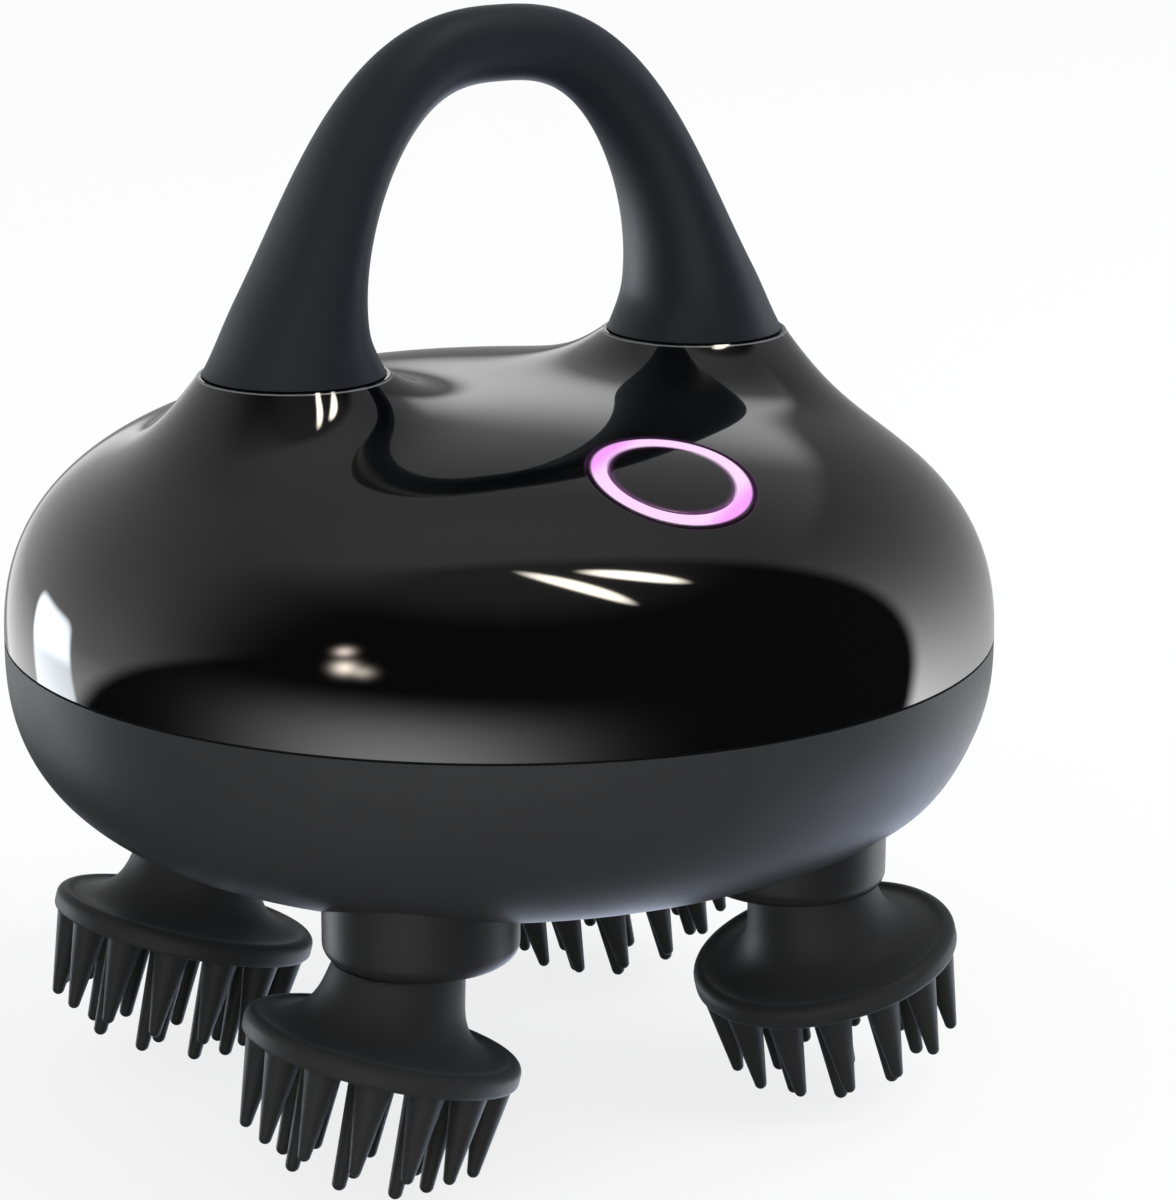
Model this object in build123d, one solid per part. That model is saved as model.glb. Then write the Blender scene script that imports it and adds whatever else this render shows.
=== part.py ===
"""Electric scalp massager: a round body on four rotating silicone heads, with an arch handle.

Frame: millimetres, +Z up, origin on the surface that the spike tips stand on, under the body's
centre. X runs along the handle, and -Y is the front, where the power button is. The pieces are
modelled with z = 0 at the seam between the two shells, then raised by `seam_height`.
"""
import os
from math import acos, cos, exp, hypot, pi, radians, sin, sqrt, tan

from build123d import *

# ---- Shells ------------------------------------------------------------------------------------
body_radius = 60.0          # both shells at the seam
wall = 2.4                  # both shells
dome_height = 30.3          # seam to the top between the horns
dome_radial_power = 2.89    # section of the dome: (r/R)^radial + (z/H)^height = 1
dome_height_power = 2.38
dome_squash = 0.061         # how much sooner the dome falls away towards front and back
bowl_depth = 29.0
bowl_radial_power = 2.87
bowl_height_power = 2.77
squash_edge_power = 2.0     # the squash dies out towards the round seam
seam_gap = 0.3              # filled by the gasket
cut_past = 3.0              # how far a shell's inside is cut past the seam
gasket_width = 1.8
gasket_recess = 0.45        # from the outside
lip_height = 2.2
lip_thickness = 1.2
lip_clearance = 0.1

# ---- Handle and the horns it stands on ---------------------------------------------------------
foot_offset = 27.8          # foot axis from the body's axis
foot_radius = 11.26
foot_height = 33.8          # seam to the horns' flat tops
flare_reach = 10.9          # how far the horn's foot spreads into the dome
flare_edge_power = 9.6
handle_rise = 36.82         # horn top to the arch's centre line
arch_side_power = 2.586
arch_top_power = 1.365
grip_half_thickness = 4.5   # at the top, in the arch's plane
grip_half_depth = 4.3       # at the top, front to back
thickness_power = 3.75      # how the section grows towards the feet
depth_power = 0.88
sleeve = 1.8                # soft layer over the core
foot_gap = 0.3              # shadow line between sleeve and horn
handle_screw_radius = 1.3
handle_screw_spacing = 7.0
handle_screw_grip = 6.0     # length in the core

# ---- Drive: sun gear, four planets on the hub shafts -------------------------------------------
gear_module = 1.0
sun_teeth = 48
planet_teeth = 25
gear_backlash = 0.2
gear_width = 4.8
hub_radius = 11.48
hub_gap = 0.4               # hub to its well
hub_bottom = -30.3
hub_edge = 2.0
well_wall = 1.6
web_bottom = -18.4
web_thickness = 4.4
hub_shaft_radius = 3.0
hub_shaft_depth = 8.6       # shaft in the hub
running = 0.05              # radial running clearance
axial_gap = 0.3
bush_wall = 2.0
seal_radius = 6.5
seal_thickness = 1.8
clip_radius = 4.8
clip_thickness = 0.7
clip_room = 0.2
plate_radius = 43.5
plate_thickness = 2.6
plate_room = 1.6            # gear top to plate
plate_post_offset = 31.5
plate_post_radius = 3.0
plate_screw_grip = 6.0      # length in the posts
sun_bush_length = 3.0
small_screw_radius = 1.1
screw_head_radius = 2.4
screw_head_height = 1.6
sun_boss_radius = 7.0

# ---- Massage heads -----------------------------------------------------------------------------
head_tilt = 15.0            # degrees, outwards along X
head_offset = 5.2           # disc centre from the hub's axis
disc_height = -40.4         # disc's middle
disc_radius = 16.4
disc_thickness = 2.8
disc_edge = 1.2             # rounding of the disc's upper edge
disc_lower_edge = 0.6
neck_radius = 8.4
neck_mid_radius = 9.3
neck_mid_height = 5.2
neck_height = 14.0          # above the disc's middle, before the hub's plane trims it
spigot_radius = 3.5
spigot_floor = 2.1          # spigot's end above the disc's middle
spike_root = 0.8            # below the disc's middle, inside the rubber
outer_spikes = 14
outer_spike_circle = 14.15
outer_spike_length = 12.2   # disc's middle to tip
outer_spike_base = 2.1
outer_spike_tip = 0.75
outer_spike_phase = 6.5     # degrees from the head's own X axis
inner_spikes = 8
inner_spike_circle = 8.7
inner_spike_length = 15.6
inner_spike_base = 1.55
inner_spike_tip = 0.85
inner_spike_phase = 3.75
centre_spike_length = 16.2

# ---- Case screws -------------------------------------------------------------------------------
case_screw_offset = 40.0
case_screw_radius = 1.2
case_screw_head = 2.6
case_screw_grip = 11.0      # length in the upper boss
case_boss_radius = 3.4
lower_boss_radius = 4.4
lower_boss_top = -10.0
counterbore_top = -14.0
screw_clearance = 0.3
hook_half_width = 5.0       # front hook of the upper shell, and its catch
hook_reach = 3.0            # below the seam
hook_thickness = 1.8
catch_height = 2.2

# ---- Motor, battery, boards --------------------------------------------------------------------
gearhead_radius = 12.5
gearhead_height = 9.0
motor_radius = 12.0
motor_height = 16.0
motor_boss_radius = 4.0
motor_boss_height = 1.6
motor_screw_offset = 8.0
shaft_in_gearhead = 5.0
battery_radius = 9.1
battery_length = 65.0
battery_offset = 24.5       # towards the back
cradle_floor = 1.5
cradle_wall = 1.5
cradle_height = 8.0
cradle_end = 1.5
battery_room = 0.1
board_thickness = 1.6
main_board_length = 40.0
main_board_width = 22.0
main_board_offset = -30.0
board_stand_height = 4.0
board_stand_radius = 2.0
board_blocks = [            # x and y from the board's middle, length, width, height
    (0, 1, 8, 8, 1.2),      # controller
    (11, -3, 6, 6, 3.0),    # coil
    (-11.5, 6.5, 7, 5, 4.0),    # battery connector
]
board_cans = [(-12, -3, 2.5, 5.0), (9, 6, 2.0, 4.0)]    # capacitors: x, y, radius, height

# ---- Power button ------------------------------------------------------------------------------
button_offset = 38.5        # towards the front
slope_reach = 0.5           # the button lies on the dome's slope over this far each way
button_travel = 0.8
ring_outer = 9.6
ring_inner = 7.4
groove = 0.35
cap_gap = 0.05
cap_depth = 4.2             # all depths run down from the surface at the button's middle
flange_depth = 4.9
flange_thickness = 1.0
flange_radius = 10.7
guide_inner = 11.1
guide_outer = 14.3
stem_radius = 2.4
stem_depth = 6.6
switch_size = 6.0
switch_height = 3.5
plunger_radius = 1.6
plunger_depth = 8.9
plunger_well = 10.0
button_board_depth = 11.2
board_screw_radius = 0.8
board_screw_length = 4.0
led_count = 8
led_circle = 8.5
led_size = 1.8
led_height = 0.7

# ---- Charging socket ---------------------------------------------------------------------------
socket_height = -9.0
socket_radius = 3.2
socket_length = 10.0
socket_face = 57.8          # from the body's axis to the socket's flat face
socket_bore_radius = 1.3
socket_bore_depth = 9.0

# ---- Worked out --------------------------------------------------------------------------------
sun_pitch = gear_module * sun_teeth / 2
planet_pitch = gear_module * planet_teeth / 2
hub_offset = (sun_pitch + planet_pitch) / 2 ** 0.5      # along X and along Y
web_top = web_bottom + web_thickness
sun_bush_bottom = web_top - sun_bush_length
gear_bottom = web_top + 2 * axial_gap + 0.1
gear_top = gear_bottom + gear_width
plate_bottom = gear_top + plate_room
plate_top = plate_bottom + plate_thickness
hub_sides = {
    "front_left": (-1, -1),
    "front_right": (1, -1),
    "rear_right": (1, 1),
    "rear_left": (-1, 1),
}
hub_places = {name: (i * hub_offset, j * hub_offset) for name, (i, j) in hub_sides.items()}
case_screw_places = [(case_screw_offset, 0), (0, case_screw_offset), (-case_screw_offset, 0)]
plate_posts = [(plate_post_offset, 0), (0, plate_post_offset), (-plate_post_offset, 0),
               (0, -plate_post_offset)]


def spike_rings():
    """Each spike of a head as (x, y, length, base radius, tip radius) in the head's own frame."""
    spikes = [(0.0, 0.0, centre_spike_length, inner_spike_base, inner_spike_tip)]
    rings = [
        (outer_spikes, outer_spike_circle, outer_spike_length, outer_spike_base, outer_spike_tip,
         outer_spike_phase),
        (inner_spikes, inner_spike_circle, inner_spike_length, inner_spike_base, inner_spike_tip,
         inner_spike_phase),
    ]
    for count, circle, length, base, tip, phase in rings:
        for i in range(count):
            angle = radians(phase + 360 * i / count)
            spikes.append((circle * cos(angle), circle * sin(angle), length, base, tip))
    return spikes


def lowest_tip():
    """Height of the lowest spike tip under the seam, for a head that tilts towards +X."""
    tilt = radians(head_tilt)
    lows = []
    for x, y, length, base, tip in spike_rings():
        centre = x * sin(tilt) - (length - tip) * cos(tilt)
        lows.append(disc_height + centre - tip)
    return min(lows)


seam_height = -lowest_tip()
parts = {}


def keep(name, shape):
    """Raise a finished piece to its height and store it under its node name."""
    parts[name] = Pos(0, 0, seam_height) * shape


def cylinder(radius, low, high, x=0.0, y=0.0):
    return Pos(x, y, low) * Cylinder(radius, high - low, align=(Align.CENTER, Align.CENTER, Align.MIN))


def tube(outer, inner, low, high, x=0.0, y=0.0):
    return cylinder(outer, low, high, x, y) - cylinder(inner, low, high, x, y)


def block(x_low, x_high, y_low, y_high, z_low, z_high):
    box = Box(x_high - x_low, y_high - y_low, z_high - z_low, align=(Align.MIN,) * 3)
    return Pos(x_low, y_low, z_low) * box


# ---- Shell surfaces ----------------------------------------------------------------------------
def dome_point(radius, angle, inset):
    """Point on the upper shell's skin, set in by `inset`, at a plan radius and angle."""
    edge = body_radius - inset
    x, y = radius * cos(angle), radius * sin(angle)
    share = min(radius / edge, 1.0)
    reach = share * (1 + dome_squash * sin(angle) ** 2 * (1 - share ** squash_edge_power))
    rest = max(1 - reach ** dome_radial_power, 0.0)
    z = (dome_height - inset) * rest ** (1 / dome_height_power)
    bump = 0.0
    for side in (-1, 1):
        away = (x - side * foot_offset) ** 2 + y ** 2
        bump += exp(((foot_radius - inset) ** 2 - away) / flare_reach ** 2)
    z += (foot_height - inset - z) * bump * (1 - share ** flare_edge_power)
    return Vector(x, y, z)


def profile_points(edge, height, radial_power, height_power, count):
    """Superellipse from the seam (edge, 0) to the pole (0, height), in near-equal steps."""
    fine = 400
    curve = []
    for i in range(fine + 1):
        turn = pi / 2 * i / fine
        across = max(cos(turn), 0.0) ** (2 / radial_power)
        curve.append((edge * across, height * sin(turn) ** (2 / height_power)))
    run = [0.0]
    for (r0, z0), (r1, z1) in zip(curve, curve[1:]):
        run.append(run[-1] + hypot(r1 - r0, z1 - z0))
    points, i = [], 0
    for k in range(count + 1):
        while i < fine and run[i] < run[-1] * k / count - 1e-9:
            i += 1
        points.append(curve[i])
    return points


def dome_skin(inset, below):
    """Solid under the dome and its horns: closed rings from the seam to the pole, lofted."""
    around = 40
    edge = body_radius - inset
    steps = profile_points(edge, dome_height - inset, dome_radial_power, dome_height_power, 14)
    radii = [radius for radius, height in steps[:-1]]
    angles = [2 * pi * k / around for k in range(around)]
    rings = [[Vector(edge * cos(a), edge * sin(a), -below) for a in angles]] if below else []
    rings += [[dome_point(radius, a, inset) for a in angles] for radius in radii]
    sections = [Wire([Edge.make_spline(ring, periodic=True)]) for ring in rings]
    sections.append(Vertex(*dome_point(0, 0, inset)))
    span = 2 * body_radius
    return Solid.make_loft(sections) & block(-span, span, -span, span, -span, foot_height - inset)


def bowl_skin(inset, above):
    """Solid inside the bowl's skin: a turned superellipse, open upwards by `above`."""
    edge, depth = body_radius - inset, bowl_depth - inset
    steps = profile_points(edge, depth, bowl_radial_power, bowl_height_power, 12)
    points = [Vector(radius, 0, -height) for radius, height in steps]
    corners = [Vector(0, 0, -depth), Vector(0, 0, above), Vector(edge, 0, above), Vector(edge, 0, 0)]
    edges = [Edge.make_spline(points, tangents=[(0, 0, -1), (-1, 0, 0)])]
    edges += [Edge.make_line(a, b) for a, b in zip(corners, corners[1:]) if (b - a).length > 1e-6]
    return Solid.revolve(Face(Wire(edges)), 360, Axis.Z)


dome_outer, dome_inner = dome_skin(0, 0), dome_skin(wall, cut_past)
bowl_outer, bowl_inner = bowl_skin(0, 0), bowl_skin(wall, cut_past)

# ---- Button frame ------------------------------------------------------------------------------
button_centre = dome_point(button_offset, -pi / 2, 0)
further_out = dome_point(button_offset + slope_reach, -pi / 2, 0)
further_in = dome_point(button_offset - slope_reach, -pi / 2, 0)
button_slope = (further_out.Z - further_in.Z) / (2 * slope_reach)
button_normal = Vector(0, button_slope, 1).normalized()
button_plane = Plane(origin=button_centre, x_dir=(1, 0, 0), z_dir=button_normal)


def button_disc(radius, top, bottom):
    """Cylinder on the button's axis between two depths; a negative depth is above the surface."""
    body = Cylinder(radius, bottom - top, align=(Align.CENTER, Align.CENTER, Align.MAX))
    return button_plane.location * Pos(0, 0, -top) * body


above_surface = -6.0        # a depth over the dome, where the button's cuts and blanks start

# ---- Shells ------------------------------------------------------------------------------------
def seat_button_screws():
    """Places of the button board's screws in the button's own plane."""
    circle = (guide_inner + guide_outer) / 2
    return [(circle * cos(radians(a)), circle * sin(radians(a))) for a in (90, 210, 330)]


def button_pin(x, y, radius, top, bottom):
    body = Cylinder(radius, bottom - top, align=(Align.CENTER, Align.CENTER, Align.MAX))
    return button_plane.location * Pos(x, y, -top) * body


def handle_screw_xs():
    half = handle_screw_spacing / 2
    return [side * foot_offset + offset for side in (-1, 1) for offset in (-half, half)]


def make_upper_shell():
    shell = dome_outer - dome_inner
    shell -= cylinder(body_radius + 1, -1, seam_gap)
    inside = dome_skin(wall / 2, -2 * lower_boss_top)
    far = 2 * foot_height
    for x, y in case_screw_places:
        shell += cylinder(case_boss_radius, lower_boss_top + axial_gap, far, x, y) & inside
        screw_end = lower_boss_top + case_screw_grip
        shell -= cylinder(case_screw_radius, lower_boss_top - 1, screw_end, x, y)
    shell += button_disc(guide_outer, above_surface, button_board_depth) & inside
    shell -= button_disc(guide_inner, above_surface, button_board_depth + 1) & dome_inner
    shell -= button_disc(ring_outer + groove, above_surface, button_board_depth)
    for x, y in seat_button_screws():
        top = button_board_depth - board_screw_length
        shell -= button_pin(x, y, board_screw_radius, top, button_board_depth + 1)
    for x in handle_screw_xs():
        shell -= cylinder(handle_screw_radius, foot_height - 2 * wall, foot_height + 1, x)
    hook_back = -(body_radius - wall - lip_clearance - lip_thickness - axial_gap)
    hook_front = hook_back + hook_thickness
    root = block(-hook_half_width, hook_half_width, -body_radius, hook_front,
                 lip_height + axial_gap, lip_height + hook_reach)
    tongue = block(-hook_half_width, hook_half_width, hook_back, hook_front, -hook_reach,
                   lip_height + hook_reach)
    return shell + (root & inside) + tongue


def make_lower_shell():
    shell = bowl_outer - bowl_inner
    inside = bowl_skin(wall / 2, 0)
    deep = -2 * bowl_depth
    well = hub_radius + hub_gap
    seat = hub_shaft_radius + running + bush_wall
    for x, y in hub_places.values():
        shell += cylinder(well + well_wall, deep, web_top, x, y) & inside
    for x, y in plate_posts:
        shell += cylinder(plate_post_radius, deep, plate_bottom, x, y) & inside
    for x, y in case_screw_places:
        shell += cylinder(lower_boss_radius, deep, lower_boss_top, x, y) & inside
    shell += cylinder(sun_boss_radius, deep, web_top, 0, 0) & inside
    for x, y in hub_places.values():
        shell -= cylinder(well, deep, web_bottom, x, y)
        shell -= cylinder(seal_radius, web_bottom - 1, web_bottom + seal_thickness, x, y)
        shell -= cylinder(seat, web_bottom, web_top + 1, x, y)
    for x, y in plate_posts:
        shell -= cylinder(small_screw_radius, plate_bottom - plate_screw_grip, plate_bottom + 1, x, y)
    for x, y in case_screw_places:
        shell -= cylinder(case_screw_head + screw_clearance, deep, counterbore_top, x, y)
        shell -= cylinder(case_screw_radius + screw_clearance, deep, 0, x, y)
    shell -= cylinder(seat, sun_bush_bottom, web_top + 1)
    shell -= cylinder(hub_shaft_radius + screw_clearance, sun_bush_bottom - 1, web_top)
    lip_outer = body_radius - wall - lip_clearance
    shell += tube(lip_outer + wall / 4, lip_outer - lip_thickness, -lip_height, 0)
    shell += tube(lip_outer, lip_outer - lip_thickness, -lip_height, lip_height)
    hook_front = -(lip_outer - lip_thickness - axial_gap - hook_thickness)
    catch_top = -hook_reach - axial_gap
    shell += block(-hook_half_width, hook_half_width, -body_radius, hook_front,
                   catch_top - catch_height, catch_top) & inside
    shell -= socket_cylinder(socket_radius, socket_length)
    shell -= Pos(0, socket_length, 0) * socket_cylinder(socket_radius, socket_length)
    return shell


def socket_cylinder(radius, length):
    """Cylinder along Y that ends at the charging socket's face."""
    body = Cylinder(radius, length, align=(Align.CENTER, Align.CENTER, Align.MAX))
    return Plane(origin=(0, socket_face, socket_height), z_dir=(0, 1, 0)).location * body


keep("upper_shell", make_upper_shell())
keep("lower_shell", make_lower_shell())
keep("shell_gasket", tube(body_radius - gasket_recess, body_radius - gasket_recess - gasket_width,
                          0, seam_gap))
case_screws = []
for x, y in case_screw_places:
    screw = cylinder(case_screw_radius, counterbore_top, lower_boss_top + case_screw_grip, x, y)
    head = cylinder(case_screw_head, counterbore_top - screw_head_height, counterbore_top, x, y)
    case_screws.append(screw + head)
keep("case_screws", Compound(case_screws))


# ---- Handle ------------------------------------------------------------------------------------
def arch_point(turn):
    """Centre of the arch's section; turn runs from 0 at the right foot to pi at the left foot."""
    side = 1 if turn < pi / 2 else -1
    x = side * foot_offset * abs(cos(turn)) ** (2 / arch_side_power)
    z = foot_height + handle_rise * max(sin(turn), 0.0) ** (2 / arch_top_power)
    return Vector(x, 0, z)


def handle_body(inset):
    """Arch of elliptical sections, set in by `inset`, from foot to foot."""
    sections, count, around = [], 26, 24
    small = 1e-4
    for i in range(count + 1):
        turn = pi * i / count
        centre = arch_point(turn)
        if i in (0, count):
            along = Vector(0, 0, 1 if i == 0 else -1)
        else:
            along = (arch_point(turn + small) - arch_point(turn - small)).normalized()
        out = Vector(along.Z, 0, -along.X)
        low = max(1 - (centre.Z - foot_height) / handle_rise, 0.0)
        thick = grip_half_thickness + (foot_radius - grip_half_thickness) * low ** thickness_power
        deep = grip_half_depth + (foot_radius - grip_half_depth) * low ** depth_power
        points = []
        for k in range(around):
            angle = 2 * pi * k / around
            points.append(centre + out * ((thick - inset) * cos(angle))
                          + Vector(0, (deep - inset) * sin(angle), 0))
        sections.append(Wire([Edge.make_spline(points, periodic=True)]))
    return Solid.make_loft(sections)


handle_core = handle_body(sleeve)
foot_room = block(-body_radius, body_radius, -body_radius, body_radius, 0, foot_height + foot_gap)
handle_grip = handle_body(0) - foot_room - handle_core
handle_screws = []
for x in handle_screw_xs():
    end = foot_height + handle_screw_grip
    handle_core -= cylinder(handle_screw_radius, foot_height - 1, end, x)
    screw = cylinder(handle_screw_radius, foot_height - wall, end, x)
    head = cylinder(screw_head_radius, foot_height - wall - screw_head_height, foot_height - wall, x)
    handle_screws.append(screw + head)
keep("handle_core", handle_core)
keep("handle_grip", handle_grip)
keep("handle_screws", Compound(handle_screws))


# ---- Gears -------------------------------------------------------------------------------------
def gear(teeth, low, bore, turn):
    """Spur gear with involute flanks and a tooth centred at `turn` degrees."""
    pressure = radians(20)
    pitch = gear_module * teeth / 2
    base, tip, root = pitch * cos(pressure), pitch + gear_module, pitch - 1.25 * gear_module

    def half_angle(radius):
        roll = acos(min(base / radius, 1.0))
        half = (pi * gear_module / 2 - gear_backlash) / (2 * pitch)
        return half + tan(pressure) - pressure - (tan(roll) - roll)

    start = max(base, root)
    steps = 4
    flank = [(root, half_angle(start))] if root < base else []
    flank += [(start + (tip - start) * i / steps, half_angle(start + (tip - start) * i / steps))
              for i in range(steps + 1)]
    tooth = [(r, -a) for r, a in flank] + [(r, a) for r, a in reversed(flank)]
    points = []
    for k in range(teeth):
        middle = radians(turn) + 2 * pi * k / teeth
        points += [(r * cos(middle + a), r * sin(middle + a)) for r, a in tooth]
    outline = make_face(Polyline(*points, close=True))
    return Pos(0, 0, low) * extrude(outline, gear_width) - cylinder(bore, low - 1, low + gear_width + 1)


# ---- Massage heads and the hubs that turn them -------------------------------------------------
def head_plane(side, x, y):
    tilt = radians(head_tilt)
    return Plane(origin=(x + side * head_offset, y, disc_height),
                 x_dir=(side * cos(tilt), 0, sin(tilt)), z_dir=(-side * sin(tilt), 0, cos(tilt)))


def turned(edges):
    return Solid.revolve(Face(Wire(edges)), 360, Axis.Z)


def spike(length, base, tip):
    """Tapered spike with a ball end, hanging down from inside the disc."""
    shoulder = length - tip
    slant = tip / sqrt(2)
    corners = [Vector(0, 0, -length), Vector(0, 0, -spike_root), Vector(base, 0, -spike_root),
               Vector(tip, 0, -shoulder)]
    edges = [Edge.make_line(a, b) for a, b in zip(corners, corners[1:])]
    end = Vector(slant, 0, -shoulder - slant)
    edges.append(Edge.make_three_point_arc(corners[-1], end, corners[0]))
    return turned(edges)


def head_body():
    """Disc with a rounded rim and a flared neck, turned about its own axis, with its spikes."""
    half = disc_thickness / 2
    foot, rim = disc_radius - disc_lower_edge, disc_radius - disc_edge
    low_slant, slant = disc_lower_edge / sqrt(2), disc_edge / sqrt(2)
    low, high = Vector(0, 0, -half), Vector(rim, 0, half)
    side_low = Vector(disc_radius, 0, -half + disc_lower_edge)
    side_high = Vector(disc_radius, 0, half - disc_edge)
    edges = [
        Edge.make_line(low, Vector(foot, 0, -half)),
        Edge.make_three_point_arc(Vector(foot, 0, -half),
                                  Vector(foot + low_slant, 0, side_low.Z - low_slant), side_low),
        Edge.make_line(side_low, side_high),
        Edge.make_three_point_arc(side_high, Vector(rim + slant, 0, side_high.Z + slant), high),
        Edge.make_spline([high, Vector(neck_mid_radius, 0, neck_mid_height),
                          Vector(neck_radius, 0, neck_height)], tangents=[(-1, 0, 0.1), (0, 0, 1)]),
        Edge.make_line(Vector(neck_radius, 0, neck_height), Vector(0, 0, neck_height)),
        Edge.make_line(Vector(0, 0, neck_height), low),
    ]
    body = turned(edges)
    body -= cylinder(spigot_radius + running, spigot_floor - axial_gap, neck_height + 1)
    return body + [Pos(x, y, 0) * spike(length, base, tip)
                   for x, y, length, base, tip in spike_rings()]


plain_head = head_body()
bush_low = web_bottom + seal_thickness
hub_top = web_bottom - axial_gap
shaft_low, shaft_high = hub_top - hub_shaft_depth, plate_top - axial_gap
for place, (i, j) in hub_sides.items():
    x, y = hub_places[place]
    plane = head_plane(i, x, y)
    room = block(-body_radius, body_radius, -body_radius, body_radius, hub_bottom - axial_gap,
                 foot_height)
    keep(f"massage_head_{place}", plane.location * plain_head - room)
    hub = cylinder(hub_radius, hub_bottom, hub_top, x, y)
    hub = fillet(hub.edges().sort_by(Axis.Z)[0], hub_edge)
    spigot_top = (hub_bottom - disc_height) / cos(radians(head_tilt)) + hub_edge
    hub += plane.location * cylinder(spigot_radius, spigot_floor, spigot_top)
    hub -= cylinder(hub_shaft_radius, shaft_low, hub_top + 1, x, y)
    keep(f"drive_hub_{place}", hub)
    keep(f"hub_shaft_{place}", cylinder(hub_shaft_radius, shaft_low, shaft_high, x, y))
    clear = hub_shaft_radius + running
    keep(f"hub_seal_{place}", tube(seal_radius, clear, web_bottom, bush_low, x, y))
    keep(f"hub_bush_{place}", tube(clear + bush_wall, clear, bush_low, web_top + axial_gap, x, y))
    planet = gear(planet_teeth, gear_bottom, hub_shaft_radius, 45 * j if i > 0 else 135 * j)
    keep(f"hub_gear_{place}", Pos(x, y, 0) * planet)
    clip_low = gear_top + clip_room
    keep(f"hub_clip_{place}", tube(clip_radius, hub_shaft_radius, clip_low, clip_low + clip_thickness,
                                   x, y))
    keep(f"plate_bush_{place}", tube(clear + bush_wall, clear, plate_bottom - axial_gap, plate_top,
                                     x, y))

# ---- Sun gear, gearbox plate and motor ---------------------------------------------------------
clear = hub_shaft_radius + running
sun_shaft_low = sun_bush_bottom + axial_gap
keep("sun_gear", gear(sun_teeth, gear_bottom, hub_shaft_radius, 0))
keep("output_shaft", cylinder(hub_shaft_radius, sun_shaft_low,
                              plate_top + shaft_in_gearhead - axial_gap))
keep("sun_bush", tube(clear + bush_wall, clear, sun_bush_bottom, web_top + axial_gap))

plate = cylinder(plate_radius, plate_bottom, plate_top)
plate -= cylinder(hub_shaft_radius + 2 * screw_clearance, plate_bottom - 1, plate_top + 1)
for x, y in case_screw_places:
    plate -= cylinder(case_boss_radius + 2 * screw_clearance, plate_bottom - 1, plate_top + 1, x, y)
for x, y in hub_places.values():
    plate -= cylinder(clear + bush_wall, plate_bottom - 1, plate_top + 1, x, y)
plate_screws = []
for x, y in plate_posts:
    head_low = plate_top - screw_head_height
    screw = cylinder(small_screw_radius, plate_bottom - plate_screw_grip, plate_top, x, y)
    screw += cylinder(screw_head_radius, head_low, plate_top, x, y)
    plate -= screw
    plate_screws.append(screw)
keep("plate_screws", Compound(plate_screws))
gearhead = cylinder(gearhead_radius, plate_top, plate_top + gearhead_height)
gearhead -= cylinder(clear, plate_top - 1, plate_top + shaft_in_gearhead)
motor_screws = []
for x in (-motor_screw_offset, motor_screw_offset):
    screw = cylinder(small_screw_radius, plate_bottom, plate_top + shaft_in_gearhead, x)
    screw += cylinder(screw_head_radius, plate_bottom, plate_bottom + screw_head_height, x)
    plate -= screw
    gearhead -= screw
    motor_screws.append(screw)
keep("motor_screws", Compound(motor_screws))
stand_top = plate_top + board_stand_height
stand_x = main_board_length / 2 - 2 * board_stand_radius
stand_y = main_board_width / 2 - 2 * board_stand_radius
for x in (-stand_x, stand_x):
    for y in (main_board_offset - stand_y, main_board_offset + stand_y):
        plate += cylinder(board_stand_radius, plate_top, stand_top, x, y)
keep("gearbox_plate", plate)
keep("motor_gearhead", gearhead)
motor_low = plate_top + gearhead_height
motor = cylinder(motor_radius, motor_low, motor_low + motor_height)
motor += cylinder(motor_boss_radius, motor_low, motor_low + motor_height + motor_boss_height)
keep("drive_motor", motor)


# ---- Battery and main board --------------------------------------------------------------------
def lying_cylinder(radius, length, y, z):
    return Plane(origin=(0, y, z), z_dir=(1, 0, 0)).location * Cylinder(radius, length)


battery_height = plate_top + cradle_floor + battery_room + battery_radius
keep("battery_cell", lying_cylinder(battery_radius, battery_length, battery_offset, battery_height))
half_length = battery_length / 2 + battery_room + cradle_end
half_width = battery_radius + battery_room + cradle_wall
cradle = block(-half_length, half_length, battery_offset - half_width, battery_offset + half_width,
               plate_top, plate_top + cradle_height)
cradle -= lying_cylinder(battery_radius + battery_room, battery_length + 2 * battery_room,
                         battery_offset, battery_height)
keep("battery_cradle", cradle)
half_board = main_board_length / 2
keep("main_board", block(-half_board, half_board, main_board_offset - main_board_width / 2,
                         main_board_offset + main_board_width / 2, stand_top,
                         stand_top + board_thickness))
board_top = stand_top + board_thickness
components = []
for x, y, length, width, height in board_blocks:
    components.append(block(x - length / 2, x + length / 2, main_board_offset + y - width / 2,
                            main_board_offset + y + width / 2, board_top, board_top + height))
for x, y, radius, height in board_cans:
    components.append(cylinder(radius, board_top, board_top + height, x, main_board_offset + y))
keep("board_components", Compound(components))
socket = socket_cylinder(socket_radius, socket_length)
socket -= socket_cylinder(socket_bore_radius, socket_bore_depth)
keep("charge_socket", socket)

# ---- Power button ------------------------------------------------------------------------------
cap = button_disc(ring_inner - cap_gap, above_surface, cap_depth) & dome_outer
cap += button_disc(stem_radius, cap_depth, stem_depth)
keep("button_cap", cap)
flange_low = flange_depth + flange_thickness
ring = button_disc(ring_outer, above_surface, flange_low) & dome_outer
ring += button_disc(flange_radius, flange_depth, flange_low)
ring -= button_disc(ring_inner, above_surface, flange_low + 1)
keep("light_ring", ring)
keep("switch_plunger", button_disc(plunger_radius, stem_depth, plunger_depth))
board = button_disc(guide_outer - cap_gap, button_board_depth, button_board_depth + board_thickness)
board_screws = []
for x, y in seat_button_screws():
    low = button_board_depth + board_thickness
    screw = button_pin(x, y, board_screw_radius, button_board_depth - board_screw_length, low)
    board -= screw
    board_screws.append(screw + button_pin(x, y, guide_outer - guide_inner - 2 * board_screw_radius,
                                           low, low + board_screw_radius))
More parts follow.
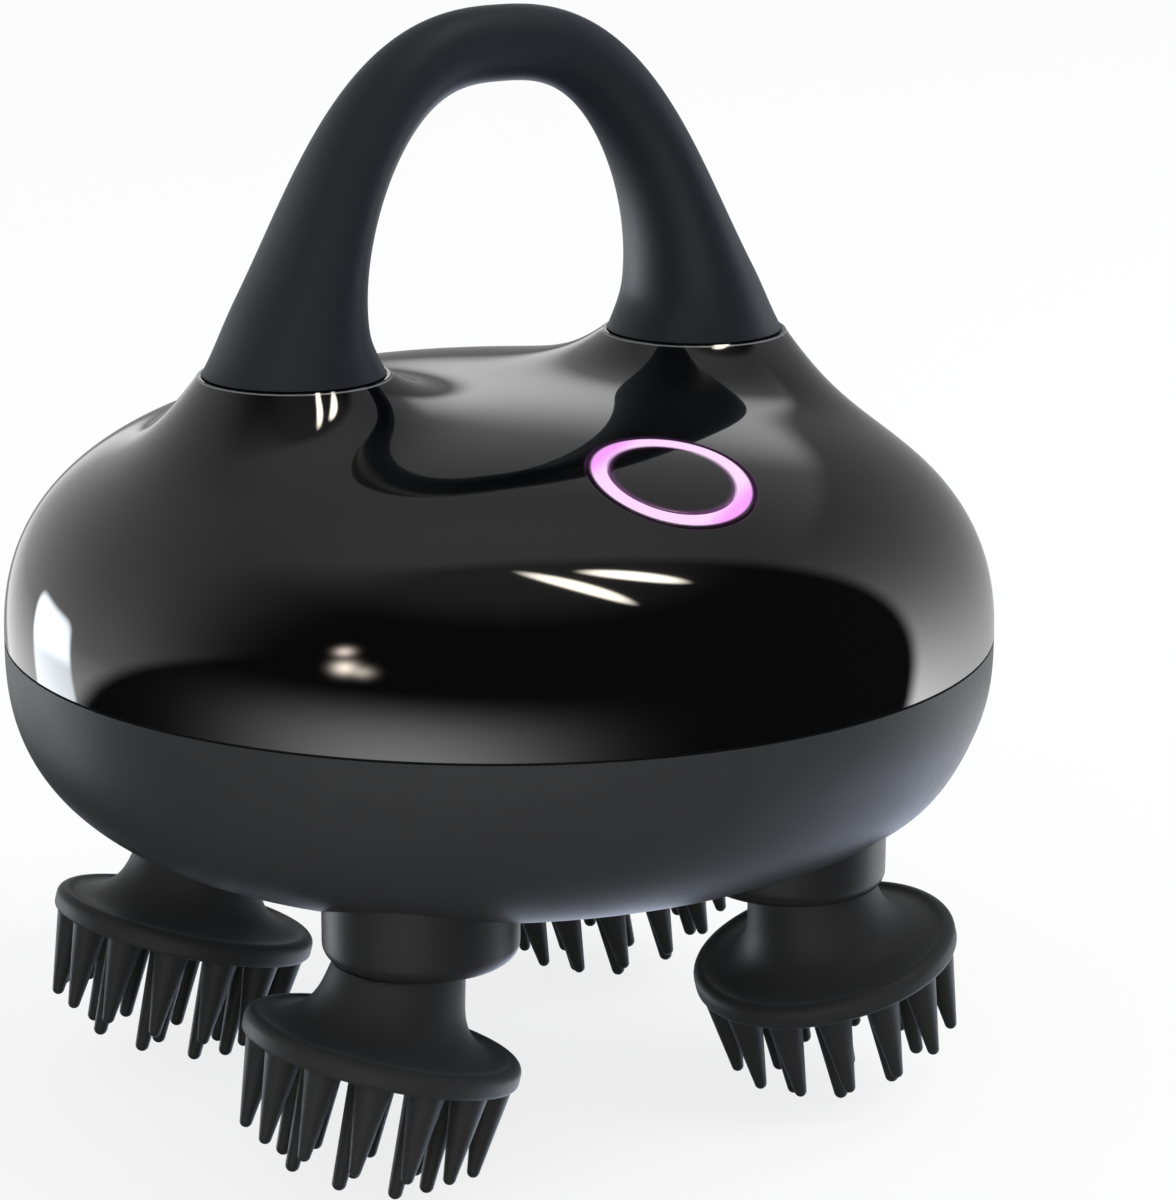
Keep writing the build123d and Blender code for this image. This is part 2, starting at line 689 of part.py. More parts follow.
keep("button_board", board)
keep("button_board_screws", Compound(board_screws))
switch = Box(switch_size, switch_size, switch_height, align=(Align.CENTER, Align.CENTER, Align.MIN))
switch = button_plane.location * Pos(0, 0, -button_board_depth) * switch
switch -= button_disc(plunger_radius + running, 0, plunger_well)
keep("tact_switch", switch)
leds = []
for k in range(led_count):
    led = Box(led_size, led_size, led_height, align=(Align.CENTER, Align.CENTER, Align.MIN))
    leds.append(button_plane.location * Rot(0, 0, 360 * k / led_count)
                * Pos(led_circle, 0, -button_board_depth) * led)
keep("button_leds", Compound(leds))

os.makedirs("parts", exist_ok=True)
for name, shape in parts.items():
    export_step(shape, f"parts/{name}.step")
print(f"{len(parts)} nodes, seam {seam_height:.3f} mm, hubs at {hub_offset:.3f} mm")
print("button centre", button_centre, "normal", button_normal)
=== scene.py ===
import math
import bmesh
import bpy
import numpy as np
from mathutils import Matrix, Vector


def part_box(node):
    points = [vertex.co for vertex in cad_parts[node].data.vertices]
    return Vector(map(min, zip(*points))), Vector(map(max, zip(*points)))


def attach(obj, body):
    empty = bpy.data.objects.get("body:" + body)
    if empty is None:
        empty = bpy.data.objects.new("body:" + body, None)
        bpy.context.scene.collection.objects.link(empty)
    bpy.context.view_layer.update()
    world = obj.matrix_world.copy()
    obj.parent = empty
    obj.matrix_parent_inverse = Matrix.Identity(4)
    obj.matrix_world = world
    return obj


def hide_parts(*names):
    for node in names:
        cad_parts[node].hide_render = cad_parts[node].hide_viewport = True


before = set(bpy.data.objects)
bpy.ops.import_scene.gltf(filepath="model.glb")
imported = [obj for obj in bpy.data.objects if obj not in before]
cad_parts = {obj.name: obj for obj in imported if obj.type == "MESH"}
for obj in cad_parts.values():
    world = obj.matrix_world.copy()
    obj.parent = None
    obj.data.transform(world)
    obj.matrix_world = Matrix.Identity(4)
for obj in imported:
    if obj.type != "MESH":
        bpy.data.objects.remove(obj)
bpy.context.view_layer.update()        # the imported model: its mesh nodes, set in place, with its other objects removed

scene = bpy.context.scene
scene.view_settings.view_transform = "Standard"
mm = 0.001
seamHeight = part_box("shell_gasket")[0].z  # the seam between the shells, in metres
hubLow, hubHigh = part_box("hub_shaft_front_right")
hubOffset = (hubLow.x + hubHigh.x) / 2 / mm  # along X and along Y
hubSides = {"front_left": (-1, -1), "front_right": (1, -1), "rear_right": (1, 1), "rear_left": (-1, 1)}


# Camera: it looks down on the front left, and is rolled a little.
cameraSettings = {
    "place": (-0.247325, -0.422545, 0.189428),
    "back": (-0.50661, -0.82373, 0.25458),  # from what it looks at towards the camera
    "roll": 0.19,  # degrees
    "lens": 124.6, "sensor": 36.0,
    "clip": (0.01, 50.0),
}


def addObject(name, data):
    made = bpy.data.objects.new(name, data)
    scene.collection.objects.link(made)
    return made


def makeCamera(settings):
    data = bpy.data.cameras.new("camera")
    data.lens = settings["lens"]
    data.sensor_width = settings["sensor"]
    data.clip_start, data.clip_end = settings["clip"]
    camera = addObject("camera", data)
    back = Vector(settings["back"]).normalized()
    right = Vector((0, 0, 1)).cross(back).normalized()
    turn = Matrix.Rotation(math.radians(settings["roll"]), 4, "Z")
    axes = Matrix((right, back.cross(right), back)).transposed().to_4x4()
    camera.matrix_world = Matrix.Translation(settings["place"]) @ axes @ turn
    scene.camera = camera


makeCamera(cameraSettings)
print("camera placed")


# Meshes: points are in millimetres from the seam's middle, and become metres when a mesh is built.
mergeDistance = 2e-6  # metres
rodSides = 64


# Four-sided faces between neighbouring rows of a grid of points; wrap joins the last column to the first.
def gridFaces(rows, columns, wrap, first):
    row = np.arange(rows - 1)[:, None] * columns
    column = np.arange(columns if wrap else columns - 1)[None, :]
    following = (column + 1) % columns
    corners = [row + column, row + following, row + columns + following, row + columns + column]
    return np.stack(corners, -1).reshape(-1, 4) + first


# One object from grids of points: each sheet is (points[rows, columns, 3], wrap). Equal points are merged.
def buildMesh(name, sheets, sharp=35.0, close=True):
    points, faces, first = [], [], 0
    for grid, wrap in sheets:
        rows, columns = grid.shape[:2]
        points.append(grid.reshape(-1, 3))
        faces.append(gridFaces(rows, columns, wrap, first))
        first += rows * columns
    points = np.concatenate(points) * mm + (0, 0, seamHeight)
    mesh = bpy.data.meshes.new(name)
    mesh.from_pydata(points.tolist(), [], np.concatenate(faces).tolist())
    work = bmesh.new()
    work.from_mesh(mesh)
    bmesh.ops.remove_doubles(work, verts=work.verts, dist=mergeDistance)
    if close:
        bmesh.ops.holes_fill(work, edges=work.edges, sides=0)
    bmesh.ops.recalc_face_normals(work, faces=work.faces)
    work.to_mesh(mesh)
    work.free()
    mesh.shade_smooth()
    mesh.set_sharp_from_angle(angle=math.radians(sharp))
    return addObject(name, mesh)


# Plan points with a height, or with the height of each.
def raised(plan, height):
    return np.concatenate([plan, np.broadcast_to(height, plan.shape[:-1])[..., None]], -1)


# Vectors brought to length 1.
def unit(vectors):
    return vectors / np.linalg.norm(vectors, axis=-1, keepdims=True)


# A smooth step from 0 to 1 between low and high.
def smoothStep(value, low, high):
    share = np.clip((value - low) / (high - low), 0.0, 1.0)
    return share ** 2 * (3 - 2 * share)


def fullTurn(count):
    return np.linspace(0, 2 * np.pi, count, endpoint=False)


# A profile of (radius, height) points turned about the Z axis: radius times cosine and sine of the angle.
def turnedGrid(profile, around):
    profile = np.asarray(profile, float)
    angle = fullTurn(around)
    radius, height = profile[:, :1], profile[:, 1:]
    return np.stack([radius * np.cos(angle), radius * np.sin(angle), height + 0 * angle], -1)


# Points of an arc from start to end degrees, as (across, up) pairs.
def arcPoints(centre, radius, start, end, count):
    angle = np.radians(np.linspace(start, end, count))
    return [tuple(point) for point in np.stack([np.cos(angle), np.sin(angle)], -1) * radius + centre]


def bevelEdges(piece, width, angle=40.0):
    bevel = piece.modifiers.new("soft edges", "BEVEL")
    bevel.width = width * mm
    bevel.segments = 2
    bevel.limit_method = "ANGLE"
    bevel.angle_limit = math.radians(angle)
    bevel.harden_normals = True


# One mesh of round rods, each (radius, start, end), that adds to a piece or cuts it.
def carve(piece, rods, operation):
    mesh = bpy.data.meshes.new("rods")
    work = bmesh.new()
    for radius, start, end in rods:
        start, end = Vector(start), Vector(end)
        turn = (end - start).to_track_quat("Z", "Y").to_matrix().to_4x4()
        place = Matrix.Translation((start + end) / 2 * mm + Vector((0, 0, seamHeight)))
        bmesh.ops.create_cone(work, cap_ends=True, segments=rodSides, radius1=radius * mm,
                              radius2=radius * mm, depth=(end - start).length * mm, matrix=place @ turn)
    work.to_mesh(mesh)
    work.free()
    rods = addObject("rods", mesh)
    change = piece.modifiers.new("rods", "BOOLEAN")
    change.object = rods
    change.operation = operation
    change.solver = "EXACT"
    applyModifiers(piece)
    bpy.data.objects.remove(rods)


def applyModifiers(piece):
    evaluated = piece.evaluated_get(bpy.context.evaluated_depsgraph_get())
    mesh = bpy.data.meshes.new_from_object(evaluated)
    piece.modifiers.clear()
    piece.data = mesh
    return mesh


# Upper shell: a squashed dome that rises into two flared horns, with a hole for the button.
upperShell = {
    "radius": 60.0,
    "domeHeight": 30.304, "radialPower": 2.891, "heightPower": 2.377,
    "squash": 0.061,  # how much sooner it falls away to front and back
    "footOffset": 27.8, "footRadius": 11.26, "footHeight": 33.8,
    "flareReach": 10.9, "flareEdgePower": 9.6,
    "seamGap": 0.3,
    "wall": 2.2,
    "edge": 0.34,  # rounding of its edges
    "rimHeight": 1.0,  # below this, the skin at the rim stands upright
    "buttonOffset": 38.5, "buttonHole": 9.95,
    "rings": 53, "seatRings": 6,  # rows from each hole to its cell's edge, and over the seat
    "near": 1.15, "far": 2.35,  # how rows crowd at the hole and at the rim
    "step": 1.42, "crowd": 2.2,  # points along a cell's edge
    "corrections": 12,  # for heights along an axis that leans
}


# Height of the dome: a superellipse of the plan radius, squashed along Y, and pulled up to the horns' tops
# by a bell curve about each foot.
def domeHeightAt(x, y):
    s = upperShell
    radius = np.maximum(np.hypot(x, y), 1e-6)
    share = np.minimum(radius / s["radius"], 1.0)
    reach = share * (1 + s["squash"] * (y / radius) ** 2 * (1 - share ** 2))
    height = s["domeHeight"] * np.maximum(1 - reach ** s["radialPower"], 0.0) ** (1 / s["heightPower"])
    bump = 0.0
    for side in (-1, 1):
        away = (x - side * s["footOffset"]) ** 2 + y ** 2
        bump = bump + np.exp((s["footRadius"] ** 2 - away) / s["flareReach"] ** 2)
    height = height + (s["footHeight"] - height) * bump * (1 - share ** s["flareEdgePower"])
    return np.clip(height, s["seamGap"], s["footHeight"])


# Middle of the button on the dome, and the directions across, along and out of it.
def buttonFrame():
    y, small = -upperShell["buttonOffset"], 0.5
    middle = np.array((0.0, y, float(domeHeightAt(0.0, y))))
    slope = float(domeHeightAt(0.0, y + small) - domeHeightAt(0.0, y - small)) / (2 * small)
    out = np.array((0.0, -slope, 1.0)) / math.hypot(1.0, slope)
    return middle, np.array((1.0, 0.0, 0.0)), np.array((0.0, out[2], -out[1])), out


buttonMiddle, buttonAcross, buttonAlong, buttonOut = buttonFrame()


# Points on the dome at a radius and angle in the button's plane, moved out along the button's axis by lift.
# The height over that plane is found by repeated correction.
def onDome(radius, angle, lift):
    flat = (buttonMiddle + np.multiply.outer(radius * np.cos(angle), buttonAcross)
            + np.multiply.outer(radius * np.sin(angle), buttonAlong))
    rise = np.zeros(flat.shape[:-1])
    for _ in range(upperShell["corrections"]):
        point = flat + rise[..., None] * buttonOut
        rise = rise + (domeHeightAt(point[..., 0], point[..., 1]) - point[..., 2]) * buttonOut[2]
    return flat + (rise + lift)[..., None] * buttonOut


# Points from start up to, but not at, end; a crowd over 1 brings those near the start closer together.
def spacedLine(start, end, step, crowd):
    start, end = np.asarray(start, float), np.asarray(end, float)
    count = max(int(crowd * np.linalg.norm(end - start) / step), 2)
    share = np.linspace(0, 1, count, endpoint=False)[:, None] ** crowd
    return start + (end - start) * share


# The same line from the other end: from end up to, but not at, its first point.
def turnedOver(line, end):
    return np.append([end], line[:0:-1], 0)


# Points of the seam's circle from start up to, but not at, end, in degrees.
def rimArc(radius, start, end, step):
    count = int(abs(math.radians(end - start)) * radius / step)
    angle = np.radians(np.linspace(start, end, count, endpoint=False))
    return np.stack([radius * np.cos(angle), radius * np.sin(angle)], -1)


# How trueNormals tells a shell's outer skin, in millimetres.
skinTest = {
    "small": 0.0004,  # step for a slope
    "rimWidth": 0.05,  # how close to the rim the skin stands upright
    "offSkin": 0.01, "overSeam": 0.3,
    "alike": 0.97,  # least cosine between the old normal and the exact one
}


# Gives a shell's outer skin the normals that its height function has, worked out from its slopes, so that
# reflections run smoothly over the borders between grids. Up is 1 for a dome and -1 for a bowl.
def trueNormals(shell, heightAt, up, rimHeight):
    mesh = applyModifiers(shell)
    small = skinTest["small"]
    points = np.empty(len(mesh.vertices) * 3)
    mesh.vertices.foreach_get("co", points)
    points = points.reshape(-1, 3) / mm - (0, 0, seamHeight / mm)
    x, y = points[:, 0], points[:, 1]
    slopeX = (heightAt(x + small, y) - heightAt(x - small, y)) / (2 * small)
    slopeY = (heightAt(x, y + small) - heightAt(x, y - small)) / (2 * small)
    exact = unit(np.stack([-slopeX, -slopeY, np.ones(len(x))], -1) * up)
    low = (points[:, 2] * up < rimHeight) & (np.hypot(x, y) > upperShell["radius"] - skinTest["rimWidth"])
    exact[low] = unit(points[low] * (1, 1, 0))  # close to the seam the skin stands upright
    onSkin = (np.abs(points[:, 2] - heightAt(x, y)) < skinTest["offSkin"]) | low
    onSkin &= points[:, 2] * up > skinTest["overSeam"]
    corner = np.empty(len(mesh.loops), dtype=np.int32)
    mesh.loops.foreach_get("vertex_index", corner)
    normal = np.empty(len(corner) * 3, dtype=np.float32)
    mesh.corner_normals.foreach_get("vector", normal)
    normal = normal.reshape(-1, 3)
    close = onSkin[corner] & ((normal * exact[corner]).sum(-1) > skinTest["alike"])
    normal[close] = exact[corner][close]
    mesh.normals_split_custom_set(normal)
    return shell


# The plan is shared between three cells, one round each foot and one round the button. Rows of points run
# from the hole to the cell's edge on straight lines, closer together near the rim, where the dome is steep,
# and each point's height is the dome's.
def makeUpperShell():
    s = upperShell
    foot, button = np.array((s["footOffset"], 0.0)), np.array((0.0, -s["buttonOffset"]))
    middle, normal = (foot + button) / 2, foot - button
    along = np.array((-normal[1], normal[0])) / np.linalg.norm(normal)
    meet = middle + along * (-middle[0] / along[0])  # where the three cells meet, on x = 0
    middleAlong = middle @ along
    reach = -middleAlong - math.sqrt(middleAlong ** 2 - middle @ middle + s["radius"] ** 2)
    corner = middle + along * reach  # where two cells meet the rim
    cornerAngle = math.degrees(math.atan2(corner[1], corner[0]))
    border = spacedLine(corner, meet, s["step"], s["crowd"])
    back = turnedOver(spacedLine((0.0, s["radius"]), meet, s["step"], s["crowd"]), meet)
    rim = rimArc(s["radius"], 90.0, cornerAngle, s["step"])
    rightEdge = np.concatenate([border, back, rim])
    front = rimArc(s["radius"], -180.0 - cornerAngle, cornerAngle, s["step"])
    buttonEdge = np.concatenate([front, border, turnedOver(border * (-1, 1), meet)])
    share = np.linspace(0, 1, s["rings"]) ** s["near"]
    share = (1 - (1 - share) ** s["far"])[:, None, None]
    sheets = []
    for side in (1, -1):
        centre, edge = foot * (side, 1), rightEdge * (side, 1)
        start = centre + s["footRadius"] * unit(edge - centre)
        plan = start + (edge - start) * share
        height = domeHeightAt(plan[..., 0], plan[..., 1])
        height[0] = s["footHeight"]
        sheets.append((raised(plan, height), True))
        seat = centre + (start - centre) * np.linspace(0, 1, s["seatRings"])[:, None, None]
        sheets.append((raised(seat, s["footHeight"]), True))
    out = buttonEdge - button
    angle = np.arctan2(out[:, 1] / buttonOut[2], out[:, 0])
    start = onDome(s["buttonHole"], angle, 0.0)[:, :2]
    plan = start + (buttonEdge - start) * share
    sheets.append((raised(plan, domeHeightAt(plan[..., 0], plan[..., 1])), True))
    shell = buildMesh("gloss_upper_shell", sheets, sharp=30.0, close=False)
    solid = shell.modifiers.new("wall", "SOLIDIFY")
    solid.thickness = s["wall"] * mm
    solid.offset = -1.0
    bevelEdges(shell, s["edge"])
    return trueNormals(shell, domeHeightAt, 1, s["rimHeight"])


upperShellPiece = makeUpperShell()
print("upper shell made")


# Power button: a black cap inside a lit ring, both following the dome.
powerButton = {
    "ringOuter": 9.6, "ringInner": 7.4, "capRadius": 7.33, "depth": 2.4,
    "edge": 0.22, "edgeSteps": 5,
    "around": 160, "ringRows": 9, "capRows": 22,
}


# A profile of (radius, lift) points carried round the button on the dome.
def domeRing(profile):
    profile = np.asarray(profile, float)
    radius, angle = np.meshgrid(profile[:, 0], fullTurn(powerButton["around"]), indexing="ij")
    return onDome(radius, angle, profile[:, 1:])


# Sections of ring and cap with quarter circles at their edges.
def makePowerButton():
    b = powerButton
    e, steps, low = b["edge"], b["edgeSteps"], -b["depth"]
    hole, rim, cap = b["ringInner"], b["ringOuter"], b["capRadius"]
    outer = arcPoints((rim - e, -e), e, 90, 0, steps)
    inner = arcPoints((hole + e, -e), e, 180, 90, steps)
    top = [(r, 0.0) for r in np.linspace(hole + e, rim - e, b["ringRows"])[1:-1]]
    profile = [(hole, low)] + inner + top + outer + [(rim, low), (hole, low)]
    ring = buildMesh("lit_ring", [(domeRing(profile), True)])
    edge = arcPoints((cap - e, -e), e, 90, 0, steps)
    top = [(r, 0.0) for r in np.linspace(0, cap - e, b["capRows"])[:-1]]
    profile = top + edge + [(cap, low), (0.0, low)]
    return ring, buildMesh("black_button_cap", [(domeRing(profile), True)])


ringPiece, capPiece = makePowerButton()
print("power button made")


# Handle: a soft sleeve over an arch, whose section grows from the top down to the horns.
handle = {
    "rise": 36.82, "sidePower": 2.586, "topPower": 1.365,
    "halfThickness": 4.5, "halfDepth": 4.24,  # at the top
    "thicknessPower": 3.75, "depthPower": 0.874,
    "footGap": 0.14,  # shadow line over the horns
    "footInset": 0.42, "levelHeight": 7.0,  # sections lie level at the feet, and square to the arch above
    "edge": 0.15,
    "along": 241, "around": 112,
}


# Elliptical sections carried along the arch: x is a power of the turn's cosine and z a power of its sine,
# and each section stands square to the arch.
def makeHandle():
    s, h = upperShell, handle
    turn = np.linspace(0, np.pi, h["along"])

    def archPoint(turn):
        cosine = np.cos(turn)
        x = s["footOffset"] * np.sign(cosine) * np.abs(cosine) ** (2 / h["sidePower"])
        z = s["footHeight"] + h["rise"] * np.maximum(np.sin(turn), 0.0) ** (2 / h["topPower"])
        return np.stack([x, z], -1)

    small = 1e-4
    centre = archPoint(turn)
    run = archPoint(turn + small) - archPoint(turn - small)
    run[0], run[-1] = (0, 1), (0, -1)
    height = centre[:, 1] - s["footHeight"]
    upright = np.stack([0 * turn, np.sign(np.pi / 2 - turn)], -1)
    run = unit(upright + (unit(run) - upright) * smoothStep(height, 0.0, h["levelHeight"])[:, None])
    out = np.stack([run[:, 1], -run[:, 0]], -1)
    low = np.clip(1 - height / h["rise"], 0.0, 1.0)
    foot = s["footRadius"] - h["footInset"]
    thick = h["halfThickness"] + (foot - h["halfThickness"]) * low ** h["thicknessPower"]
    deep = h["halfDepth"] + (foot - h["halfDepth"]) * low ** h["depthPower"]
    angle = fullTurn(h["around"])
    across = (thick[:, None] * np.cos(angle))[..., None] * out[:, None, :] + centre[:, None, :]
    y = deep[:, None] * np.sin(angle)
    z = np.maximum(across[..., 1], s["footHeight"] + h["footGap"])
    sleeve = buildMesh("soft_handle_sleeve", [(np.stack([across[..., 0], y, z], -1), True)], sharp=50.0)
    bevelEdges(sleeve, h["edge"], angle=60.0)
    return sleeve


handlePiece = makeHandle()
print("handle made")


# Lower shell: a bowl with a well for each hub, and an inner skin.
lowerShell = {
    "radius": 60.0, "depth": 29.02, "radialPower": 2.9, "heightPower": 2.77,
    "squash": 0.05, "squashPower": 12.0,  # how much sooner it falls away to front and back
    "bulge": 0.025, "bulgeAt": 58.0, "bulgeWidth": 56.0,  # fuller at the right-hand corners, in degrees
    "bulgeStart": (0.55, 0.84), "bulgeEnd": (0.88, 0.98),  # shares of the radius where it comes and goes
    "wall": 2.4,
    "screwPlaces": ((40.0, 0.0), (0.0, 40.0), (-40.0, 0.0)), "screwHole": 2.9, "screwTop": -14.0,
    "cutPast": 1.0,  # below the bowl
    "boss": 4.1, "bossTop": -12.4, "bossRise": 1.65,  # tubes round the screw holes, inside the skin
    "inlet": 3.35, "inletHeight": -9.0, "inletDepth": (50.0, 64.0),  # charging inlet at the back
    "rimHeight": 0.8,  # above this, the skin at the rim stands upright
    "well": 11.88, "wellEdge": 0.3, "edgeTurns": (0.0, 30.0, 60.0),
    "webBottom": -18.4, "webTop": -14.0,
    "shaftHole": 5.05, "wellWall": 1.6,
    "rings": 40, "far": 2.6,  # rows from a well to its cell's edge, and how they crowd
    "step": 1.4, "crowd": 2.2,
}


# Depth of the bowl: a superellipse of the plan radius, set in by inset, and let out at the right-hand corners
# by a squared cosine of the angle.
def bowlHeightAt(x, y, inset=0.0):
    b = lowerShell
    radius = np.maximum(np.hypot(x, y), 1e-6)
    share = np.minimum(radius / (b["radius"] - inset), 1.0)
    turn = (np.degrees(np.arctan2(np.abs(y), x)) - b["bulgeAt"]) / b["bulgeWidth"]
    lobe = np.cos(np.clip(turn, -1.0, 1.0) * np.pi / 2) ** 2
    lobe = lobe * smoothStep(share, *b["bulgeStart"]) * (1 - smoothStep(share, *b["bulgeEnd"]))
    share = share * (1 + b["squash"] * (y / radius) ** 2 * (1 - share ** b["squashPower"]))
    share = share * (1 - b["bulge"] * lobe)
    rest = np.maximum(1 - share ** b["radialPower"], 0.0)
    return -(b["depth"] - inset) * rest ** (1 / b["heightPower"])


# Four cells, one round each hub's well. In each, rows run from the shaft hole over the well's ceiling and
# wall to the bowl's skin and out to the cell's edge, and a second sheet does the same inside.
def makeLowerShell():
    b = lowerShell
    sheets = []
    inside = (b["radius"] - b["wall"]) / b["radius"]
    share = np.linspace(0, 1, b["rings"])
    share = (1 - (1 - share) ** b["far"])[:, None, None]
    crossing = spacedLine((b["radius"], 0), (0, 0), b["step"], b["crowd"])
    quarter = rimArc(b["radius"], 0, 90, b["step"])
    for side in hubSides.values():
        edge = np.concatenate([turnedOver(crossing, (0, 0)), quarter, crossing[:, ::-1]]) * side
        centre = hubOffset * np.array(side)
        out = unit(edge - centre)
        start = centre + out * (b["well"] + b["wellEdge"])
        plan = start + (edge - start) * share
        skin = raised(plan, bowlHeightAt(plan[..., 0], plan[..., 1]))
        hole, wall = centre + out * b["shaftHole"], centre + out * b["well"]
        rows = [raised(hole, b["webTop"]), raised(hole, b["webBottom"]), raised(wall, b["webBottom"])]
        for turn in np.radians(b["edgeTurns"]):
            ring = centre + out * (b["well"] + b["wellEdge"] * (1 - math.cos(turn)))
            drop = b["wellEdge"] * (1 - math.sin(turn))
            rows.append(raised(ring, bowlHeightAt(ring[:, 0], ring[:, 1]) + drop))
        sheets.append((np.concatenate([np.stack(rows), skin]), True))
        inner = centre + out * (b["well"] + b["wellWall"])
        plan = inner + (edge * inside - inner) * share
        skin = raised(plan, bowlHeightAt(plan[..., 0], plan[..., 1], b["wall"]))
        rows = [raised(hole, b["webTop"]), raised(inner, b["webTop"])]
        sheets.append((np.concatenate([np.stack(rows), skin])[:, ::-1], True))
    rim = np.concatenate([quarter, [(0, b["radius"])]])
    for cosine, sine in [(1, 0), (0, 1), (-1, 0), (0, -1)]:
        arc = np.stack([rim[:, 0] * cosine - rim[:, 1] * sine, rim[:, 0] * sine + rim[:, 1] * cosine], -1)
        sheets.append((raised(np.stack([arc, arc * inside]), 0.0), False))
    shell = buildMesh("matte_lower_shell", sheets, sharp=40.0, close=False)
    bosses, holes = [], []
    for x, y in b["screwPlaces"]:
        foot = float(bowlHeightAt(x, y)) + b["bossRise"]
        bosses.append((b["boss"], (x, y, foot), (x, y, b["bossTop"])))
        holes.append((b["screwHole"], (x, y, -b["depth"] - b["cutPast"]), (x, y, b["screwTop"])))
    start, end = b["inletDepth"]
    holes.append((b["inlet"], (0, start, b["inletHeight"]), (0, end, b["inletHeight"])))
    carve(shell, bosses, "UNION")
    carve(shell, holes, "DIFFERENCE")
    return trueNormals(shell, bowlHeightAt, -1, b["rimHeight"])


lowerShellPiece = makeLowerShell()
print("lower shell made")


# Hubs: turned cups with a rounded lower edge and a leaning spigot that carries the head.
hub = {
    "radius": 11.48, "bottom": -30.3, "top": -18.7,
    "edge": 2.0, "chamfer": 0.3,  # at its foot, and at its top
    "spigotRadius": 3.5, "spigotFloor": 2.1, "spigotEdge": 0.4,
    "spigotRise": 2.0,  # how far it reaches up into the cup
    "around": 128,
    "steps": (6, 10, 6, 5),  # points of the wall, the foot, the floor and the spigot's end
}

# Massage heads: a disc with a flared neck, and spikes in two rings round one in the middle.
head = {
    "tilt": 15.0, "offset": 5.2, "discHeight": -40.4,
    "discRadius": 16.4, "discThickness": 2.8, "edge": 1.2, "lowerEdge": 0.6,
    "beadTurn": 118.0,  # degrees by which the rounded rim passes over its top
    "neckRadius": 9.7, "neckTaper": 0.21,  # radius at the disc's middle, and its loss with height
    "neckHeight": 7.2, "neckStep": 0.7,  # where the sweep into the neck ends, and its first step in
    "risePower": 1.5, "sweepPower": 2.7,  # how the sweep bends
    "hubGap": 0.2, "hubShare": 0.98,  # how near the neck comes, and how far it follows the rounding
    "around": 144,
    "steps": (12, 6, 10, 28, 22),  # points of the disc, its two edges, the sweep and the neck
    "spikeSteps": (4, 9, 8),  # points of a spike's fillet, side and ball
    "spikeAround": 28, "fillet": 0.12, "root": 0.8,  # a spike starts this far below the disc's middle
}
spikeRings = [  # count, circle, length, base, tip, first angle
    (14, 13.75, 12.2, 2.3, 0.75, 6.5),
    (8, 8.7, 15.6, 1.7, 0.85, 3.75),
    (1, 0.0, 16.2, 1.7, 0.85, 0.0),
]


# Turns a head's own points, side being +1 or -1 for the way it leans, and puts them on their hub.
def headToBody(points, side, x, y):
    lean = math.radians(head["tilt"])
    across = np.array((side * math.cos(lean), 0.0, math.sin(lean)))
    out = np.array((-side * math.sin(lean), 0.0, math.cos(lean)))
    along = np.cross(out, across)
    middle = np.array((x + side * head["offset"], y, head["discHeight"]))
    return middle + points[..., :1] * across + points[..., 1:2] * along + points[..., 2:] * out


# Half section of disc and neck: a rounded rim, a sweep into the cone of the neck by powers of the way up,
# and a closed top.
def headProfile():
    h = head
    half, e, low = h["discThickness"] / 2, h["edge"], h["lowerEdge"]
    rim, foot = h["discRadius"] - e, h["discRadius"] - low
    discSteps, footSteps, rimSteps, sweepSteps, neckSteps = h["steps"]
    lower = [(r, -half) for r in np.linspace(0, foot, discSteps)[:-1]]
    lower += arcPoints((foot, -half + low), low, -90, 0, footSteps)
    lower += arcPoints((rim, half - e), e, 0, h["beadTurn"], rimSteps)
    start, base = lower[-1]
    start -= h["neckStep"]
    share = np.linspace(0, 1, sweepSteps)
    height = base + (h["neckHeight"] - base) * share ** h["risePower"]
    neck = h["neckRadius"] - h["neckTaper"] * height
    radius = neck + (start - neck) * (1 - share) ** h["sweepPower"]
    top = hub["bottom"] - h["discHeight"] + h["discRadius"] * math.sin(math.radians(h["tilt"]))
    z = np.linspace(h["neckHeight"], top, neckSteps)[1:]
    cone = zip(h["neckRadius"] - h["neckTaper"] * z, z)
    return lower + list(zip(radius, height)) + list(cone) + [(0.0, top)]


# Half section of a spike: it starts inside the disc, leaves it with a small fillet, and tapers to a ball end.
def spikeProfile(length, base, tip):
    fillet, (filletSteps, sideSteps, ballSteps) = head["fillet"], head["spikeSteps"]
    top, bottom, shoulder = -head["root"], -head["discThickness"] / 2, -(length - tip)
    height = np.concatenate([[top, bottom + fillet], np.linspace(bottom, bottom - fillet, filletSteps),
                             np.linspace(bottom - 2 * fillet, shoulder, sideSteps)])
    radius = tip + (base - tip) * (height - shoulder) / (top - shoulder)
    radius = radius + fillet * np.clip((height - bottom) / fillet + 1, 0, 1) ** 2
    ball = arcPoints((0.0, shoulder), tip, 0, -90, ballSteps)[1:]
    return [(0.0, top)] + list(zip(radius, height)) + ball


